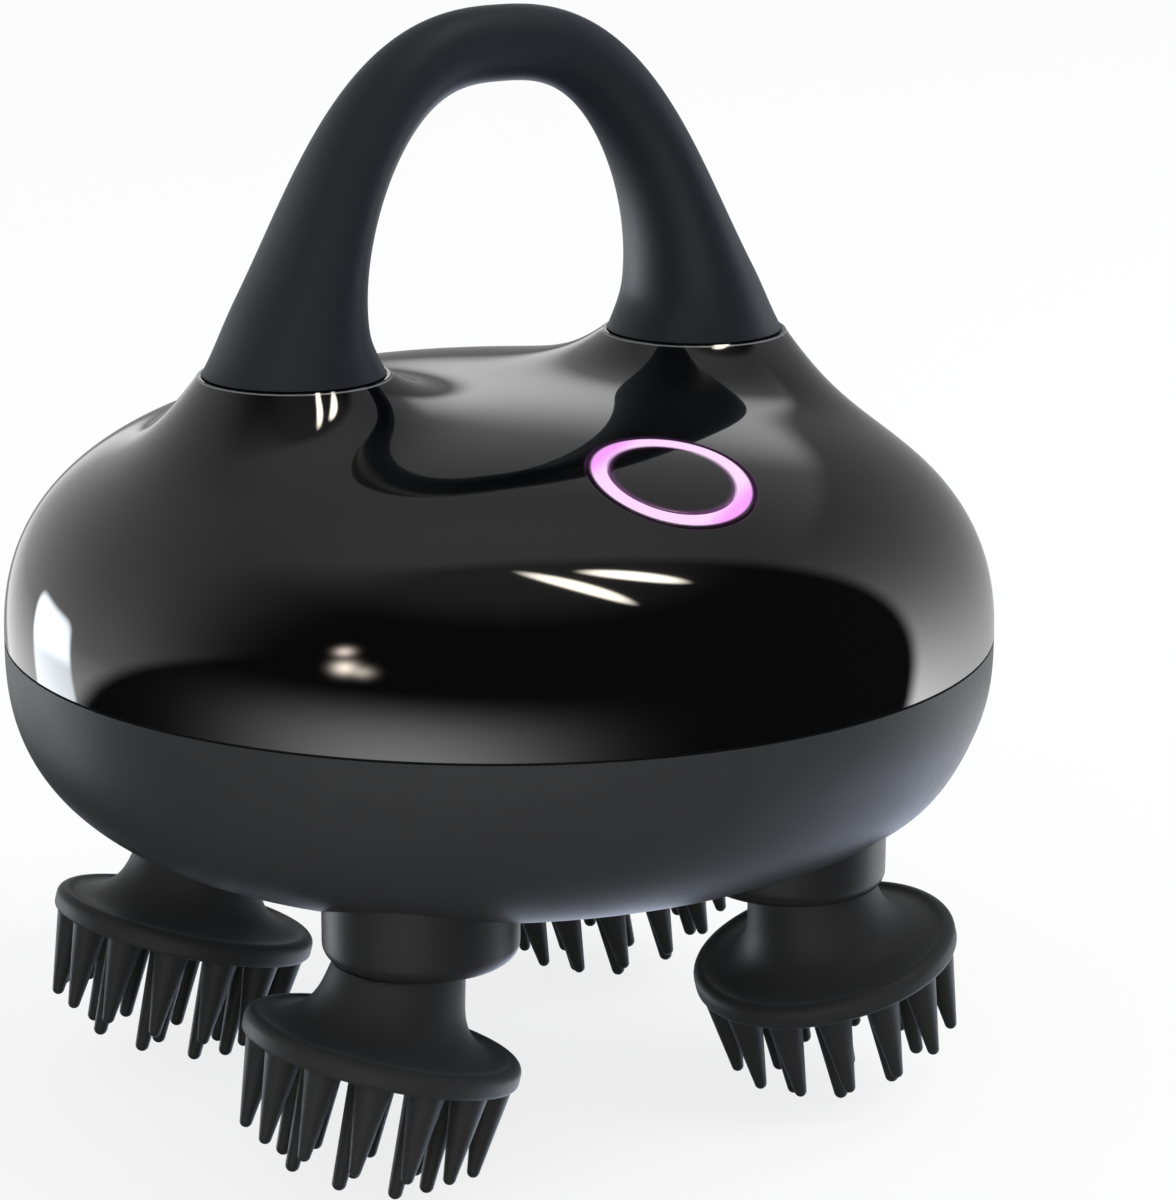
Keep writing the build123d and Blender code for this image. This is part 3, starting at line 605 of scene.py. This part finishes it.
# Disc and neck turned about the head's axis, and at each place of the rings a spike turned about its own.
def makeHead(place, side, x, y):
    h = head
    sheets = [turnedGrid(headProfile(), h["around"])]
    for count, circle, length, base, tip, first in spikeRings:
        spike = turnedGrid(spikeProfile(length, base, tip), h["spikeAround"])
        for angle in fullTurn(count) + math.radians(first):
            sheets.append(spike + (circle * math.cos(angle), circle * math.sin(angle), 0))
    sheets = [headToBody(sheet, side, x, y) for sheet in sheets]
    # the neck ends under its hub, and follows the hub's rounded foot with a small gap
    disc, edge = sheets[0], hub["edge"]
    aside = np.hypot(disc[..., 0] - x, disc[..., 1] - y) - (hub["radius"] - edge)
    aside = np.clip(aside, 0.0, edge * h["hubShare"])
    ceiling = hub["bottom"] + edge - np.sqrt(edge ** 2 - aside ** 2) - h["hubGap"]
    disc[..., 2] = np.minimum(disc[..., 2], ceiling)
    return buildMesh("silicone_head_" + place, [(sheet, True) for sheet in sheets], sharp=60.0)


# A cup turned about the hub's axis, and a pin turned about the head's.
def makeHub(place, side, x, y):
    p = hub
    flat, low, high = p["radius"] - p["edge"], p["bottom"] + p["edge"], p["top"] - p["chamfer"]
    wallSteps, footSteps, floorSteps, spigotSteps = p["steps"]
    profile = [(0.0, p["top"]), (p["radius"] - p["chamfer"], p["top"]), (p["radius"], high)]
    profile += [(p["radius"], z) for z in np.linspace(high, low, wallSteps)[1:-1]]
    profile += arcPoints((flat, low), p["edge"], 0, -90, footSteps)
    profile += [(r, p["bottom"]) for r in np.linspace(flat, 0, floorSteps)[1:]]
    cup = turnedGrid(profile, p["around"]) + (x, y, 0)
    top = (p["bottom"] - head["discHeight"]) / math.cos(math.radians(head["tilt"])) + p["spigotRise"]
    radius, floor, e = p["spigotRadius"], p["spigotFloor"], p["spigotEdge"]
    pin = arcPoints((radius - e, floor + e), e, -90, 0, spigotSteps)
    pin = turnedGrid([(0.0, floor)] + pin + [(radius, top), (0.0, top)], rodSides)
    return buildMesh("turned_hub_" + place, [(cup, True), (headToBody(pin, side, x, y), True)], sharp=50.0)


headPieces, hubPieces = {}, {}
for place, (sideX, sideY) in hubSides.items():
    where = (sideX, sideX * hubOffset, sideY * hubOffset)
    headPieces[place], hubPieces[place] = makeHead(place, *where), makeHub(place, *where)
print("heads and hubs made")


# Materials: a node's inputs are given as values, which are set, or as sockets, which are linked.
def feed(tree, node, inputs):
    for key, value in inputs.items():
        if isinstance(value, bpy.types.NodeSocket):
            tree.links.new(value, node.inputs[key])
        else:
            node.inputs[key].default_value = value


def addNode(tree, kind, inputs={}, **settings):
    made = tree.nodes.new(kind)
    for key, value in settings.items():
        setattr(made, key, value)
    feed(tree, made, inputs)
    return made


# Results of a math node, and of a vector math node.
def calc(tree, operation, *values):
    return addNode(tree, "ShaderNodeMath", dict(enumerate(values)), operation=operation).outputs[0]


def calcVector(tree, operation, *values):
    made = addNode(tree, "ShaderNodeVectorMath", dict(enumerate(values)), operation=operation)
    return made.outputs["Value" if operation in ("LENGTH", "DOT_PRODUCT") else "Vector"]


def scaled(tree, colour, value):
    return addNode(tree, "ShaderNodeVectorMath", {0: colour, "Scale": value}, operation="SCALE").outputs[0]


# Goes from start to end while a value goes from low to high, on a smooth step or a straight line.
def ramp(tree, value, low, high, start=0.0, end=1.0, kind="SMOOTHSTEP"):
    return addNode(tree, "ShaderNodeMapRange", {"Value": value, "From Min": low, "From Max": high,
                   "To Min": start, "To Max": end}, interpolation_type=kind).outputs[0]


# Rises from 0 to 1 between the first two of four lengths in millimetres, and falls between the others.
def bandMask(tree, value, limits):
    a, b, c, d = [limit * mm for limit in limits]
    return calc(tree, "MULTIPLY", ramp(tree, value, a, b), ramp(tree, value, c, d, 1.0, 0.0))


def mixColours(tree, share, first, second):
    first, second = [colour if isinstance(colour, bpy.types.NodeSocket) else (*colour, 1.0)
                     for colour in (first, second)]
    return addNode(tree, "ShaderNodeMix", {0: share, 6: first, 7: second}, data_type="RGBA").outputs[2]


def mixValues(tree, share, first, second):
    return addNode(tree, "ShaderNodeMix", {0: share, 2: first, 3: second}, data_type="FLOAT").outputs[0]


def mixShaders(tree, share, first, second):
    return addNode(tree, "ShaderNodeMixShader", {0: share, 1: first, 2: second}).outputs[0]


def objectPlace(tree):
    return addNode(tree, "ShaderNodeTexCoord").outputs["Object"]


# Fine grain and slow mottling of a moulded surface: a height, and a mask around one half.
def makeGrainGroup():
    group = bpy.data.node_groups.new("moulded grain", "ShaderNodeTree")
    for name, value in (("Grain Scale", 1500.0), ("Mottle Scale", 40.0), ("Grain Share", 0.5)):
        socket = group.interface.new_socket(name, in_out="INPUT", socket_type="NodeSocketFloat")
        socket.default_value = value
    for name in ("Height", "Mask"):
        group.interface.new_socket(name, in_out="OUTPUT", socket_type="NodeSocketFloat")
    start, place = addNode(group, "NodeGroupInput"), objectPlace(group)

    def noise(scale, detail, roughness):
        return addNode(group, "ShaderNodeTexNoise", {"Vector": place, "Scale": scale, "Detail": detail,
                       "Roughness": roughness}).outputs["Fac"]

    grain = noise(start.outputs["Grain Scale"], 2.0, 0.6)
    mottle = noise(start.outputs["Mottle Scale"], 3.0, 0.55)
    mask = mixValues(group, start.outputs["Grain Share"], mottle, grain)
    addNode(group, "NodeGroupOutput", {"Height": grain, "Mask": mask})
    return group


grainGroup = makeGrainGroup()

plainFinish = {  # what a finish has where it says nothing else
    "metallic": 0.0, "ior": 1.5, "specular": 0.5, "sheen": 0.0, "sheenTint": (1.0, 1.0, 1.0, 1.0),
    "grain": 1500.0, "mottle": 50.0, "share": 0.5,
    "maskLimits": (0.3, 0.7), "spread": 0.15, "roughSpread": 0.06,  # how far the mask moves colour, roughness
    "bumpDepth": 0.0002,  # metres
}
finishes = {  # colours are linear
    "gloss_shell": {"colour": (0.0009, 0.0009, 0.001), "roughness": 0.035, "ior": 1.8, "bump": 0.0,
                    "grain": 900.0, "mottle": 25.0, "share": 0.15, "spread": 0.25, "roughSpread": 0.01},
    "matte_shell": {"colour": (0.0245, 0.025, 0.026), "roughness": 0.42, "specular": 0.09, "bump": 0.04,
                    "grain": 2600.0, "mottle": 60.0, "spread": 0.12},
    "soft_grip": {"colour": (0.0098, 0.0116, 0.0152), "roughness": 0.5, "specular": 0.3, "bump": 0.03,
                  "grain": 2200.0, "mottle": 45.0, "share": 0.4, "spread": 0.12,
                  "sheen": 0.06, "sheenTint": (0.6, 0.68, 0.9, 1.0)},
    "silicone": {"colour": (0.0175, 0.0175, 0.0178), "roughness": 0.5, "specular": 0.17, "bump": 0.02,
                 "grain": 1800.0, "mottle": 70.0, "share": 0.4, "spread": 0.2,
                 "sheen": 0.05, "sheenTint": (0.8, 0.85, 0.95, 1.0)},
    "seal_rubber": {"colour": (0.006, 0.006, 0.006), "roughness": 0.6, "bump": 0.02},
    "hub_plastic": {"colour": (0.0135, 0.0135, 0.014), "roughness": 0.42, "specular": 0.28, "bump": 0.03,
                    "grain": 2400.0},
    "grey_moulding": {"colour": (0.05, 0.05, 0.055), "roughness": 0.5, "bump": 0.05},
    "gear_plastic": {"colour": (0.62, 0.6, 0.55), "roughness": 0.4, "bump": 0.03},
    "bronze": {"colour": (0.45, 0.26, 0.11), "roughness": 0.35, "metallic": 1.0, "bump": 0.03},
    "steel": {"colour": (0.55, 0.55, 0.56), "roughness": 0.28, "metallic": 1.0, "bump": 0.03},
    "motor_steel": {"colour": (0.48, 0.48, 0.5), "roughness": 0.36, "metallic": 1.0, "bump": 0.04},
    "battery_wrap": {"colour": (0.03, 0.14, 0.32), "roughness": 0.3, "bump": 0.02},
    "circuit_board": {"colour": (0.012, 0.09, 0.035), "roughness": 0.35, "bump": 0.03},
    "chip_plastic": {"colour": (0.012, 0.012, 0.013), "roughness": 0.45, "bump": 0.04},
    "led_white": {"colour": (0.8, 0.8, 0.74), "roughness": 0.35, "bump": 0.01},
}


def newMaterial(name):
    material = bpy.data.materials.new(name)
    material.use_nodes = True
    return material, material.node_tree, material.node_tree.nodes["Principled BSDF"]


# A moulded, rubbed or metal surface: its colour and roughness wander with the mask, and the grain gives bump.
def makeFinish(name, look):
    look = {**plainFinish, **look}
    material, tree, shader = newMaterial(name)
    feed(tree, shader, {
        "Roughness": look["roughness"], "Metallic": look["metallic"], "IOR": look["ior"],
        "Specular IOR Level": look["specular"],
        "Sheen Weight": look["sheen"], "Sheen Tint": look["sheenTint"]})
    grain = addNode(tree, "ShaderNodeGroup", {"Grain Scale": look["grain"], "Mottle Scale": look["mottle"],
                    "Grain Share": look["share"]}, node_tree=grainGroup)
    mask, colour = grain.outputs["Mask"], Vector(look["colour"])
    spread, rough = look["spread"], look["roughSpread"]
    feed(tree, shader, {
        "Base Color": mixColours(tree, mask, colour * (1 - spread), colour * (1 + spread)),
        "Roughness": ramp(tree, mask, *look["maskLimits"], look["roughness"] - rough,
                          look["roughness"] + rough, "LINEAR")})
    if look["bump"] > 0:
        bump = addNode(tree, "ShaderNodeBump", {"Strength": look["bump"], "Distance": look["bumpDepth"],
                                                "Height": grain.outputs["Height"]})
        feed(tree, shader, {"Normal": bump.outputs[0]})
    return material


ringGlow = {  # lengths are distances from the button's middle
    "pale": (0.97, 0.68, 0.98), "pink": (0.93, 0.36, 0.98), "strength": 1.0,
    "lobes": (-0.56, 0.784, 0.271),  # direction across the ring, towards the two pinker ends
    "lobeStart": 6.4, "lobeEnd": 8.6,
    "lit": (7.29, 7.61, 9.14, 9.46),
    "body": (0.012, 0.004, 0.012), "bodySpread": 1.5, "bodyGrain": 160.0, "roughness": 0.25,
    "spill": (0.13, 0.045, 0.14),  # light that the gloss beside the ring picks up
    "spillBand": (6.35, 7.45, 9.5, 10.4), "spillPower": 2.0,
}


# Distance of the shaded point from the button's middle, and its offset along the direction of the lobes.
def fromButton(tree):
    middle = Vector(buttonMiddle * mm + (0, 0, seamHeight))
    away = calcVector(tree, "SUBTRACT", objectPlace(tree), tuple(middle))
    along = calc(tree, "ABSOLUTE", calcVector(tree, "DOT_PRODUCT", away, ringGlow["lobes"]))
    return calcVector(tree, "LENGTH", away), along


# Milky plastic lit from below: pale, pinker at two opposite ends, and dark at the very rims.
def makeRingLight():
    glow = ringGlow
    material, tree, shader = newMaterial("ring_light")
    distance, along = fromButton(tree)
    lobe = ramp(tree, along, glow["lobeStart"] * mm, glow["lobeEnd"] * mm)
    lit = mixColours(tree, lobe, glow["pale"], glow["pink"])
    noise = addNode(tree, "ShaderNodeTexNoise", {"Vector": objectPlace(tree), "Scale": glow["bodyGrain"]})
    body = Vector(glow["body"])
    feed(tree, shader, {
        "Base Color": mixColours(tree, noise.outputs["Fac"], body, body * glow["bodySpread"]),
        "Emission Color": scaled(tree, lit, bandMask(tree, distance, glow["lit"])),
        "Roughness": glow["roughness"], "Emission Strength": glow["strength"]})
    return material


# The gloss beside the ring picks up a little of its light, by a power of a mask round the ring.
def addSpill(material):
    glow, tree = ringGlow, material.node_tree
    mask = calc(tree, "POWER", bandMask(tree, fromButton(tree)[0], glow["spillBand"]), glow["spillPower"])
    feed(tree, tree.nodes["Principled BSDF"], {"Emission Color": scaled(tree, glow["spill"], mask),
                                               "Emission Strength": 1.0})


# A painted highlight on the rounded rim of the horns: a paler colour and a lower roughness in a band of
# heights under the handle's feet, standing in for the light that the rim catches.
paintedRimHighlight = {"colour": (0.14, 0.14, 0.145), "band": (-0.25, -0.19, -0.12, -0.07), "roughness": 0.12}


# Mixes the painted rim highlight into the shell's own colour and roughness.
def addPaintedRimHighlight(material):
    tree = material.node_tree
    shader = tree.nodes["Principled BSDF"]
    height = addNode(tree, "ShaderNodeSeparateXYZ", {0: objectPlace(tree)}).outputs["Z"]
    top = upperShell["footHeight"] + seamHeight / mm
    mask = bandMask(tree, height, [top + at for at in paintedRimHighlight["band"]])
    colour, rough = [shader.inputs[name].links[0].from_socket for name in ("Base Color", "Roughness")]
    feed(tree, shader, {"Base Color": mixColours(tree, mask, colour, paintedRimHighlight["colour"]),
                        "Roughness": mixValues(tree, mask, rough, paintedRimHighlight["roughness"])})


materials = {name: makeFinish(name, look) for name, look in finishes.items()}
materials["ring_light"] = makeRingLight()
addSpill(materials["gloss_shell"])
# the painted highlight on the horns' rim
addPaintedRimHighlight(materials["gloss_shell"])
print("materials made")


def setMaterial(piece, slot):
    piece.data.materials.clear()
    piece.data.materials.append(materials[slot])


# Gives a new piece its material and its record slot, lets it ride, and names the solids that it replaces.
def dress(piece, slot, body, *nodes):
    setMaterial(piece, slot)
    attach(piece, body)
    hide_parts(*nodes)


dress(upperShellPiece, "gloss_shell", "casing", "upper_shell")
dress(lowerShellPiece, "matte_shell", "casing", "lower_shell")
dress(handlePiece, "soft_grip", "casing", "handle_grip")
dress(ringPiece, "ring_light", "power_button", "light_ring")
dress(capPiece, "gloss_shell", "power_button", "button_cap")
for place in hubSides:
    dress(headPieces[place], "silicone", "head_" + place, "massage_head_" + place)
    dress(hubPieces[place], "hub_plastic", "hub_" + place, "drive_hub_" + place)
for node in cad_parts.values():  # a CAD piece's own material is named for its slot
    named = [material.name.split(".")[0] for material in node.data.materials]
    setMaterial(node, named[0] if named and named[0] in materials else "grey_moulding")
print("CAD pieces dressed")


# Studio: a pale floor, even light from all round, and what the gloss reflects.
white = (1.0, 1.0, 1.0, 1.0)
studio = {
    "floorColour": (0.94, 0.94, 0.95), "floorRoughness": 0.9, "floorSpecular": 0.1,
    "floorWhite": 0.8,  # how far the camera sees it as plain white
    "floorRadius": 6.0, "floorSides": 96,  # metres
    "evenLight": 0.75,
    "lampTarget": (0.0, 0.0, 0.06),
}


# A round disc under the spike tips.
def makeFloor():
    s, angle = studio, fullTurn(studio["floorSides"])
    ring = s["floorRadius"] * np.stack([np.cos(angle), np.sin(angle), 0 * angle], -1)
    mesh = bpy.data.meshes.new("floor")
    mesh.from_pydata(ring.tolist(), [], [list(range(len(ring)))])
    floor = addObject("floor", mesh)
    material, tree, shader = newMaterial("pale floor")
    feed(tree, shader, {"Roughness": s["floorRoughness"], "Specular IOR Level": s["floorSpecular"],
                        "Base Color": (*s["floorColour"], 1.0)})
    path = addNode(tree, "ShaderNodeLightPath")
    share = calc(tree, "MULTIPLY", path.outputs["Is Camera Ray"], s["floorWhite"])
    plain = addNode(tree, "ShaderNodeEmission", {"Color": white})
    feed(tree, tree.nodes["Material Output"], {
        "Surface": mixShaders(tree, share, shader.outputs[0], plain.outputs[0])})
    mesh.materials.append(material)
    floor.visible_glossy = False  # reflections see the studio instead


makeFloor()

# Seen by reflections alone: place is (azimuth, elevation), and size half the width and height, in degrees.
softBoxes = {
    "window": {"place": (117.0, -12.6), "size": (9.9, 15.8), "power": 6.0, "glow": (6.2, 6.7, 7.2),
               "shade": (-0.19, -0.12, 0.52)},  # dimmer below, between these heights
    "bulbTop": {"place": (200.8, 33.5), "size": (1.5, 2.2), "soft": True, "glow": (8.6, 7.2, 6.4)},
    "bulbLeft": {"place": (203.0, 24.5), "size": (1.95, 3.0), "soft": True, "glow": (12.5, 10.9, 9.3)},
    "bulbRight": {"place": (207.6, 23.3), "size": (1.9, 2.6), "soft": True, "glow": (4.9, 4.3, 3.7)},
    "barFront": {"place": (-66.5, 73.5), "size": (2.3, 12.5), "glow": (15.0, 14.0, 12.0)},
    "barSide": {"place": (-35.5, 70.0), "size": (2.5, 8.8), "glow": (15.0, 14.0, 12.0)},
}
boxEdge = {  # how square the others are, and where they fade
    "power": 2.0, "reach": (0.3, 1.2), "behind": (0.0, 0.05),
}

# The room that the gloss reflects: brightness by direction. A pair gives the limits of a smooth step in the
# direction's height, or in its share along an axis.
room = {
    "front": 0.018,
    "overhead": 0.12, "overheadAt": (0.8, 1.0),
    "wallTop": 0.2, "wallLevel": 0.52, "wallPower": 1.5,  # behind, overhead and at the horizon
    "wallFoot": 0.75, "wallFootAt": (-0.04, -0.28),  # and below it
    "wallWay": (0.25, 0.968, 0.0), "wallEdge": (-0.03, 0.08),  # where it begins
    "wallSoft": (-0.32, 0.37), "leftAt": (-0.1, -0.6),  # and how much softer on the left
    "wallDark": (-0.4, -0.27),  # the floor far below is dark
    "ridge": 0.6, "ridgePlace": (57.0, 14.0),  # a brighter patch beside the right part
    "ridgeNear": (0.88, 0.97), "ridgeSide": (-0.26, -0.08),
    "right": 1.35, "rightLeast": 0.06, "rightFall": (0.0, -2.25, -2.7),  # its fall along Y and with height
    "rightPlane": (0.671, -0.313, -0.67), "rightAt": (-0.06, 0.01),  # it lies beyond this plane
    "leftPlane": (0.323, 0.511, 0.797), "underAt": (0.02, -0.08),  # what lies under this one is dark
    "leftFloor": 2.6, "leftWay": (-0.8, -0.6, 0.0), "leftPower": 6.0,  # a pale floor in front
    "depthPower": 1.7, "depthAt": (0.26, -0.32), "leftEnd": (-0.5, -0.34),
    "band": 1.7, "bandTop": (-0.28, -0.32), "bandFoot": (-0.5, -0.42),  # below the horizon on the right
    "bandWay": (0.94, 0.34, 0.0), "bandAt": (0.5, 0.85),
    "behindFloor": 3.6, "behindColour": (0.72, 0.8, 1.0),  # further down, behind on the right
    "behindDepth": (-0.35, -0.52), "behindAt": (0.3, 0.8),
}


def direction(azimuth, elevation):
    a, e = math.radians(azimuth), math.radians(elevation)
    return Vector((math.cos(a) * math.cos(e), math.sin(a) * math.cos(e), math.sin(e)))


def makeWorld():
    scene.world = world = bpy.data.worlds.new("studio")
    world.use_nodes = True
    r, tree = room, world.node_tree
    tree.nodes.clear()
    way = addNode(tree, "ShaderNodeTexCoord").outputs["Generated"]

    def dot(axis):
        return calcVector(tree, "DOT_PRODUCT", way, tuple(axis))

    def step(value, limits, *ends):
        return ramp(tree, value, *limits, *ends)

    def times(result, *others):
        for other in others:
            result = calc(tree, "MULTIPLY", result, other)
        return result

    def plus(result, *others):
        for other in others:
            result = calc(tree, "ADD", result, other)
        return result

    def less(value):
        return calc(tree, "SUBTRACT", 1.0, value)

    def power(value, exponent):
        return calc(tree, "POWER", value, exponent)

    height, toRight, toBand = dot((0, 0, 1)), dot(r["rightPlane"]), dot(r["bandWay"])
    # behind: a wall that is brighter towards the floor, with a ridge
    foot = ramp(tree, height, *r["wallFootAt"], 0.0, r["wallFoot"], "LINEAR")
    ridge = times(step(toRight, r["ridgeSide"]), step(dot(direction(*r["ridgePlace"])), r["ridgeNear"]))
    wall = plus(times(power(less(height), r["wallPower"]), r["wallLevel"]), foot, r["wallTop"],
                times(ridge, r["ridge"]))
    # on the right it fades by an exponential of the direction
    right = plus(times(calc(tree, "EXPONENT", dot(r["rightFall"])), r["right"]), r["rightLeast"])
    beyond = step(toRight, r["rightAt"])
    wall = plus(times(wall, less(beyond)), times(right, beyond))
    # the wall ends sharply on the right and softly on the left
    left = step(dot((1, 0, 0)), r["leftAt"])
    behind = step(dot(r["wallWay"]), [plus(times(left, soft), edge)
                                      for soft, edge in zip(r["wallSoft"], r["wallEdge"])])
    under = step(dot(r["leftPlane"]), r["underAt"])
    back = times(behind, wall, less(times(left, under)), step(height, r["wallDark"]))
    # in front on the left: a power of the cosine, and of the depth below the horizon
    aside = calc(tree, "MAXIMUM", dot(r["leftWay"]), 0.0)
    below = times(ramp(tree, height, *r["depthAt"], kind="LINEAR"), step(height, r["leftEnd"]))
    leftFloor = times(power(aside, r["leftPower"]), power(below, r["depthPower"]), r["leftFloor"])
    band = times(step(height, r["bandTop"]), step(height, r["bandFoot"]), step(toBand, r["bandAt"]),
                 r["band"])
    grey = plus(back, leftFloor, step(height, r["overheadAt"], 0.0, r["overhead"]), r["front"], band)
    total = addNode(tree, "ShaderNodeCombineColor", {0: grey, 1: grey, 2: grey}).outputs[0]
    floorBehind = times(step(height, r["behindDepth"], 0.0, r["behindFloor"]), step(toBand, r["behindAt"]))
    total = calcVector(tree, "ADD", total, scaled(tree, r["behindColour"], floorBehind))
    for box in softBoxes.values():
        middle = direction(*box["place"])
        beside = Vector((0, 0, 1)).cross(middle).normalized()
        reach = 0.0
        for axis, size in zip((beside, middle.cross(beside)), box["size"]):
            share = calc(tree, "DIVIDE", dot(axis), math.sin(math.radians(size)))
            reach = plus(power(calc(tree, "ABSOLUTE", share), box.get("power", boxEdge["power"])), reach)
        if box.get("soft"):  # a bell curve, half as bright at its size
            mask = calc(tree, "EXPONENT", times(reach, -math.log(2)))
        else:
            mask = step(reach, boxEdge["reach"], 1.0, 0.0)
        mask = times(mask, step(dot(middle), boxEdge["behind"]))
        if "shade" in box:
            mask = times(mask, ramp(tree, height, *box["shade"]))
        total = calcVector(tree, "ADD", total, scaled(tree, box["glow"], mask))

    def background(colour, strength=1.0):
        return addNode(tree, "ShaderNodeBackground", {"Color": colour, "Strength": strength}).outputs[0]

    path = addNode(tree, "ShaderNodeLightPath")
    seen = mixShaders(tree, path.outputs["Is Glossy Ray"], background(white, studio["evenLight"]),
                      background(total))
    seen = mixShaders(tree, path.outputs["Is Camera Ray"], seen, background(white))
    addNode(tree, "ShaderNodeOutputWorld", {"Surface": seen})


makeWorld()

lamps = {  # place and size in metres, strength in watts
    "keyLamp": {"place": (1.3, -0.9, 1.6), "size": 1.2, "strength": 18.0, "colour": (1.0, 0.98, 0.96)},
    "fillLamp": {"place": (-1.6, -0.6, 0.9), "size": 1.4, "strength": 2.6, "colour": (0.92, 0.96, 1.0)},
    "lowRight": {"place": (0.9, -0.1, 0.02), "size": 0.35, "strength": 6.5, "colour": (0.62, 0.75, 1.0)},
    "lowFront": {"place": (-0.45, -0.75, 0.05), "size": 0.5, "strength": 4.2, "colour": (1.0, 0.99, 0.97)},
}


def makeLamp(name, lamp):
    data = bpy.data.lights.new(name, "AREA")
    data.shape = "DISK"
    data.size = lamp["size"]
    data.energy = lamp["strength"]
    data.color = lamp["colour"]
    made = addObject(name, data)
    made.location = lamp["place"]
    aim = Vector(studio["lampTarget"]) - made.location
    made.rotation_euler = aim.to_track_quat("-Z", "Y").to_euler()
    made.visible_glossy = False


for name, lamp in lamps.items():
    makeLamp(name, lamp)
print("studio made")
